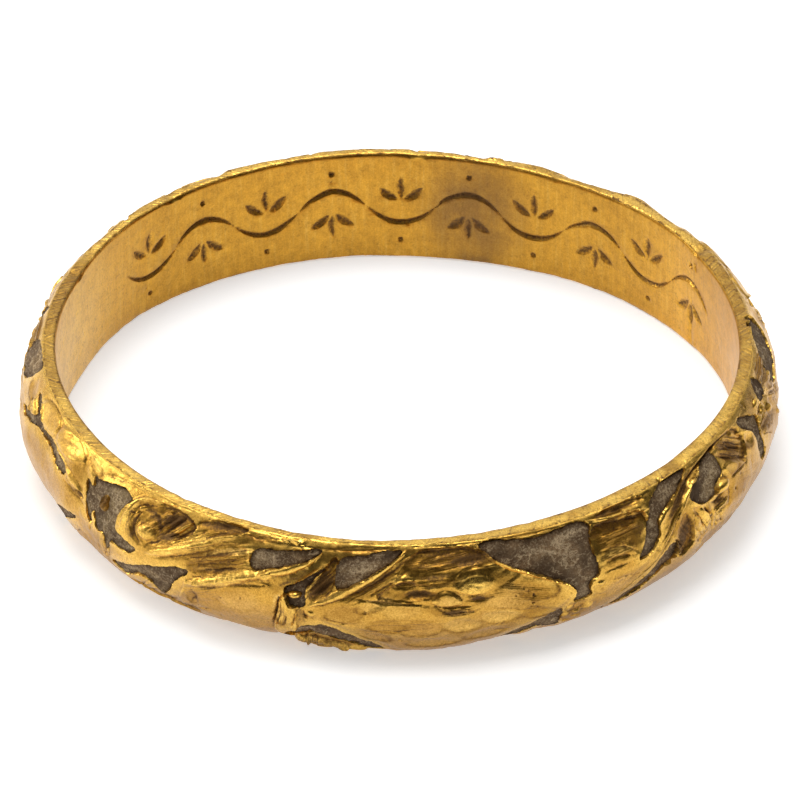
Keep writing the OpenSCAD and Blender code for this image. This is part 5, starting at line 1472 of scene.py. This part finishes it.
def paint_rims(hoop, seed, values):
    """Colours of the rims: bright gold from wear and a painted highlight, scored across, duller at both
    edges, and the upper one brown in places.
    """
    edges = np.linspace(-1, 1, RIM_ROWS)[:, None] ** 2
    spread = grain((RIM_ROWS, COLUMNS), (2, 5), seed + 40)
    for rim in (hoop.upper, hoop.lower):
        # the rims are bright gold, from wear and a painted highlight
        values["scored"][rim] = values["wear_and_highlight"][rim] = 1.0
        values["shade_and_tone"][rim] = np.clip(edges * (RIM_EDGE + RIM_SPREAD * spread), 0, 1)
        round_rim = np.abs(hoop.across(hoop.angles[None, :] - 180))
        values["across"][rim] = RIM_LINES * round_rim + RIM_SLANT * hoop.line[rim][:, :1]
    shade_and_tone = values["shade_and_tone"][hoop.upper]
    for angle, half, strength in RIM_PATCHES:
        away = np.abs(off_angle(hoop.angles, angle)) / half
        shade_and_tone = np.maximum(shade_and_tone, strength * (1 - ramp(away, 0.6, 1.0)))
    values["shade_and_tone"][hoop.upper] = shade_and_tone
    values["grime_and_shade"][hoop.upper] = RIM_DIRT * ramp(shade_and_tone, 0.6, 1.0)


def band_values(hoop, relief, field, cut, seed):
    """Numbers for the gold, by name: 0 to 1, but across, which is a distance in mm.

    The dirt value holds dirt, with painted shade on walls and scoop edges. Three values give deeper, paler
    and
    brighter gold: deeper for painted shade in hollows, at scoop edges, in dark patches and on the far stretch
    of the hole, and for random tone and brown on the rim; paler for painted reflections of the floor and of
    light on facets, and for random tone; brighter for wear and painted highlights on rims, ridges and the
    hole's left end.
    The stain value is tarnish, with painted greying at the left end of the hole. scored is where fine lines
    run along which across is the same, and drawn is 1 in the hole.
    """
    values = {name: np.zeros(field.shape)
              for name in ("grime_and_shade", "shade_and_tone", "pale", "wear_and_highlight", "stain_and_sheen", "scored", "across", "drawn")}
    hollow, wide = (blurred(field, cells) - field for cells in (NARROW_CELLS, WIDE_CELLS))
    values["grime_and_shade"] += NARROW_DIRT * portion(hollow, *NARROW_HOLLOW) + WIDE_DIRT * portion(wide, 0, WIDE_FULL)
    paint_face(hoop, relief, wide, values)
    paint_wall(hoop, cut, values)
    paint_rims(hoop, seed, values)
    return values


def build_band(hoop, carving, colours):
    """The gold hoop, a grid that closes both ways, thinned where it is smooth."""
    relief = Relief(hoop, carving)
    seed = carving.wear_seed
    field, cut = band_field(hoop, relief, carving.engraving / MM, seed)
    obj = mesh_object("band_gold", band_points(hoop, field), grid_faces(*field.shape))
    for name, values in band_values(hoop, relief, field, cut, seed).items():
        add_values(obj.data, name, values)
    thinned(obj, BAND_TRIANGLES)
    obj.data.materials.clear()
    obj.data.materials.append(gold_material(colours))
    return obj


def closed_slab(quad):
    """Faces of a slab over the marked cells of a grid: top, foot and a wall wherever a neighbour is missing.

    Corners of the top are numbered along the grid's rows, and those of the foot go on from there.
    """
    rows, columns = quad.shape
    number = np.arange((rows + 1) * (columns + 1)).reshape(rows + 1, columns + 1)
    a, b, c, d = number[:-1, :-1], number[:-1, 1:], number[1:, 1:], number[1:, :-1]
    n = number.size
    parts = [np.stack([a, b, c, d], -1)[quad], np.stack([d, c, b, a], -1)[quad] + n]
    ring = np.pad(quad, 1)
    for first, second, other in ((a, b, ring[:-2, 1:-1]), (b, c, ring[1:-1, 2:]),
                                 (c, d, ring[2:, 1:-1]), (d, a, ring[1:-1, :-2])):
        rim = quad & ~other
        parts.append(np.stack([second[rim], first[rim], first[rim] + n, second[rim] + n], -1))
    return np.concatenate(parts)


def build_enamel(hoop, carving, colours):
    """Bodies of enamel: the cells' outlines, a little larger, filled on a fine grid from foot to top.

    The top is the level plus a shift of the whole body, fine bumps, a slow swell and a rise at the walls that
    fades by exp(-distance / ENAMEL_FADE). The foot lies in the gold under the cell's floor.
    """
    level, foot = -carving.enamel_sunk / MM, -carving.cell_depth / MM - ENAMEL_UNDER
    rng = np.random.default_rng(carving.wear_seed + 50)
    points, faces, tints, edges, soots = [], [], [], [], []
    total = 0
    for turn in REPEATS:
        for tint, outline in CELLS:
            shape = rounded(hoop.flat(outline))
            low, high = shape.min(0) - ENAMEL_ROOM, shape.max(0) + ENAMEL_ROOM
            x = np.arange(low[0], high[0], ENAMEL_STEP)[None, :]
            y = np.arange(low[1], min(high[1], hoop.face_s[-1] - ENAMEL_RIM), ENAMEL_STEP)[:, None]
            inside = inside_distance(shape, x, y)
            keep = inside > -ENAMEL_OVER
            quad = keep[:-1, :-1] & keep[1:, :-1] & keep[:-1, 1:] & keep[1:, 1:]
            bumps, swell = (
                grain(inside.shape, cells, int(rng.integers(1 << 30))) for cells in ((3.0, 3.0), (9.0, 9.0)))
            top = level + rng.uniform(-ENAMEL_SHIFT, ENAMEL_SHIFT)
            top = top + ENAMEL_BUMPS * bumps + ENAMEL_SWELL * swell
            top = top + ENAMEL_RISE * np.exp(-np.maximum(inside, 0) / ENAMEL_FADE)
            top = np.clip(top, foot + ENAMEL_THIN, -ENAMEL_BELOW)
            used, face = np.unique(closed_slab(quad), return_inverse=True)
            s, u, near = (
                np.tile(v.ravel(), 2)[used] for v in (*np.broadcast_arrays(y, x), inside))
            h = np.concatenate([top.ravel(), np.full(top.size, foot)])[used]
            tilt = s / hoop.arc
            r = hoop.crown - hoop.arc + (hoop.arc + h) * np.cos(tilt)
            r += hoop.worn(np.degrees(u / hoop.crown) + turn, s)
            z = (hoop.arc + h) * np.sin(tilt) + hoop.half
            angle = u / hoop.crown + math.radians(turn)
            points.append(np.stack([r * np.cos(angle), r * np.sin(angle), z], -1) * MM)
            faces.append(face.reshape(-1, 4) + total)
            total += len(used)
            tints.append(np.full(len(used), np.clip(tint + rng.uniform(-TINT_SPREAD, TINT_SPREAD), 0, 1)))
            # edge darkened by dirt and painted shade along the cell's walls
            edges.append(1 - ramp(near, 0.0, ENAMEL_EDGE))
            soot_and_shade = np.full(len(used), FAR_SOOT if turn else 0.0)
            # soot, with painted shade where a cell lies in shadow, adds to the value; crust takes from it
            for a, height, length, width, lean, strength in ENAMEL_PATCHES:
                q = oval(u, s, hoop.flat([(a, height)])[0], (length, width), lean)
                soot_and_shade += strength * np.exp(-1.5 * q ** 2)
            soots.append(np.clip(soot_and_shade, -1, 1))
    obj = mesh_object("enamel_remains", np.concatenate(points), np.concatenate(faces))
    for name, values in (("tint", tints), ("edge", edges), ("soot_and_shade", soots)):
        add_values(obj.data, name, np.concatenate(values))
    obj.data.materials.append(enamel_material(colours))
    return obj


def settings():
    """The property groups of the scene."""
    scene = bpy.context.scene
    return scene.ring_sizes, scene.ring_carving, scene.ring_colours, scene.ring_stage


class RING_OT_band(bpy.types.Operator):
    """Build the carved gold hoop"""

    bl_idname = "ring.build_band"
    bl_label = "Build band"

    def execute(self, context):
        sizes, carving, colours, _ = settings()
        band = build_band(Hoop(sizes), carving, colours)
        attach(band, "root")
        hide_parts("band")
        return {"FINISHED"}


class RING_OT_enamel(bpy.types.Operator):
    """Build the remains of enamel in the cells"""

    bl_idname = "ring.build_enamel"
    bl_label = "Build enamel"

    def execute(self, context):
        sizes, carving, colours, _ = settings()
        enamel = build_enamel(Hoop(sizes), carving, colours)
        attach(enamel, "root")
        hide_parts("enamel")
        return {"FINISHED"}


def area_light(name, place, aim, size, power, colour):
    """Rectangular soft light at place in metres, turned to aim."""
    data = bpy.data.lights.new(name, "AREA")
    data.shape = "RECTANGLE"
    data.size, data.size_y = size
    data.energy = power
    data.color = colour
    obj = bpy.data.objects.new(name, data)
    obj.location = place
    obj.rotation_euler = (Vector(aim) - Vector(place)).to_track_quat("-Z", "Y").to_euler()
    bpy.context.scene.collection.objects.link(obj)


def sky(dim, bright, toward):
    """Surroundings that grow from dim to bright with the cosine between the direction and toward."""
    world = bpy.data.worlds.new("surroundings")
    bpy.context.scene.world = world
    world.use_nodes = True
    tree = world.node_tree
    tree.nodes.clear()
    coords, dot, remap, back, out = (tree.nodes.new("ShaderNode" + kind) for kind in (
        "TexCoord", "VectorMath", "MapRange", "Background", "OutputWorld"))
    dot.operation = "DOT_PRODUCT"
    dot.inputs[1].default_value = Vector(toward).normalized()
    remap.interpolation_type = "SMOOTHSTEP"
    tree.links.new(coords.outputs["Generated"], dot.inputs[0])
    tree.links.new(dot.outputs["Value"], remap.inputs["Value"])
    for name, value in (("From Min", 0.0), ("From Max", 0.75), ("To Min", dim), ("To Max", bright)):
        remap.inputs[name].default_value = value
    tree.links.new(remap.outputs["Result"], back.inputs["Strength"])
    tree.links.new(back.outputs["Background"], out.inputs["Surface"])


def floor_material(stage):
    """Pale paper, faintly mottled, that also gives out light as a light table does."""
    n = Nodes("floor paper")
    fibre = n.remap(n.noise(0.4, 3), 0.3, 0.7)
    n.link(n.mix(fibre, tuple(stage.floor), scaled(stage.floor, 0.985)), n.shader.inputs["Base Color"])
    n.shader.inputs["Roughness"].default_value = 0.9
    n.shader.inputs["Emission Color"].default_value = (1.0, 1.0, 1.0, 1.0)
    n.shader.inputs["Emission Strength"].default_value = stage.glow
    n.shader.inputs["Specular IOR Level"].default_value = 0.1
    return n.material


class RING_OT_stage(bpy.types.Operator):
    """Build the floor, the lights and the camera"""

    bl_idname = "ring.build_stage"
    bl_label = "Build stage"

    def execute(self, context):
        *_, stage = settings()
        corners = FLOOR_HALF * np.array([(-1, -1, 0), (1, -1, 0), (1, 1, 0), (-1, 1, 0)])
        floor = mesh_object("floor", corners, np.array([[0, 1, 2, 3]]))
        floor.data.materials.append(floor_material(stage))

        middle = Vector(LOOK_AT)
        sky(*SKY_GLOW, SKY_TOWARD)
        for name, place, size, power, colour in LIGHTS:
            area_light(name, place, middle, size, power, colour)

        cam = bpy.data.cameras.new("camera")
        cam.sensor_width = 36
        cam.lens = stage.lens
        cam.clip_start, cam.clip_end = 0.02, 5
        eye = bpy.data.objects.new("camera", cam)
        bpy.context.scene.collection.objects.link(eye)
        tilt = stage.camera_height
        back = Vector((0, -math.cos(tilt), math.sin(tilt)))
        right, up = Vector((1, 0, 0)), Vector((0, math.sin(tilt), math.cos(tilt)))
        turn = Matrix((right, up, back)).transposed().to_4x4()
        roll = Matrix.Rotation(math.radians(CAMERA_ROLL), 4, back)
        place = middle + back * stage.camera_distance + right * CAMERA_RIGHT * MM - up * CAMERA_DOWN * MM
        eye.matrix_world = Matrix.Translation(place) @ roll @ turn
        context.scene.camera = eye
        context.scene.view_settings.view_transform = "Standard"
        return {"FINISHED"}


class RING_PT_panel(bpy.types.Panel):
    """Sizes, colours and the steps that build the ring"""

    bl_idname = "RING_PT_panel"
    bl_label = "Carved ring"
    bl_space_type = "VIEW_3D"
    bl_region_type = "UI"
    bl_category = "Ring"

    def draw(self, context):
        for group in settings():
            box = self.layout.box()
            for name in group.bl_rna.properties.keys():
                if name not in ("rna_type", "name"):
                    box.prop(group, name)
        for step in STEPS:
            self.layout.operator(step.bl_idname)


STEPS = (RING_OT_band, RING_OT_enamel, RING_OT_stage)
GROUPS = {"ring_sizes": RingSizes, "ring_carving": RingCarving, "ring_colours": RingColours,
          "ring_stage": RingStage}


def register():
    """Adds the classes and the scene's property groups."""
    for cls in (*GROUPS.values(), *STEPS, RING_PT_panel):
        bpy.utils.register_class(cls)
    for name, cls in GROUPS.items():
        setattr(bpy.types.Scene, name, PointerProperty(type=cls))


def unregister():
    """Takes them out again."""
    for name in GROUPS:
        delattr(bpy.types.Scene, name)
    for cls in reversed((*GROUPS.values(), *STEPS, RING_PT_panel)):
        bpy.utils.unregister_class(cls)


def main():
    """Registers the add-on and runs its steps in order."""
    register()
    bpy.ops.ring.build_band()
    bpy.ops.ring.build_enamel()
    bpy.ops.ring.build_stage()


if __name__ == "__main__":
    main()
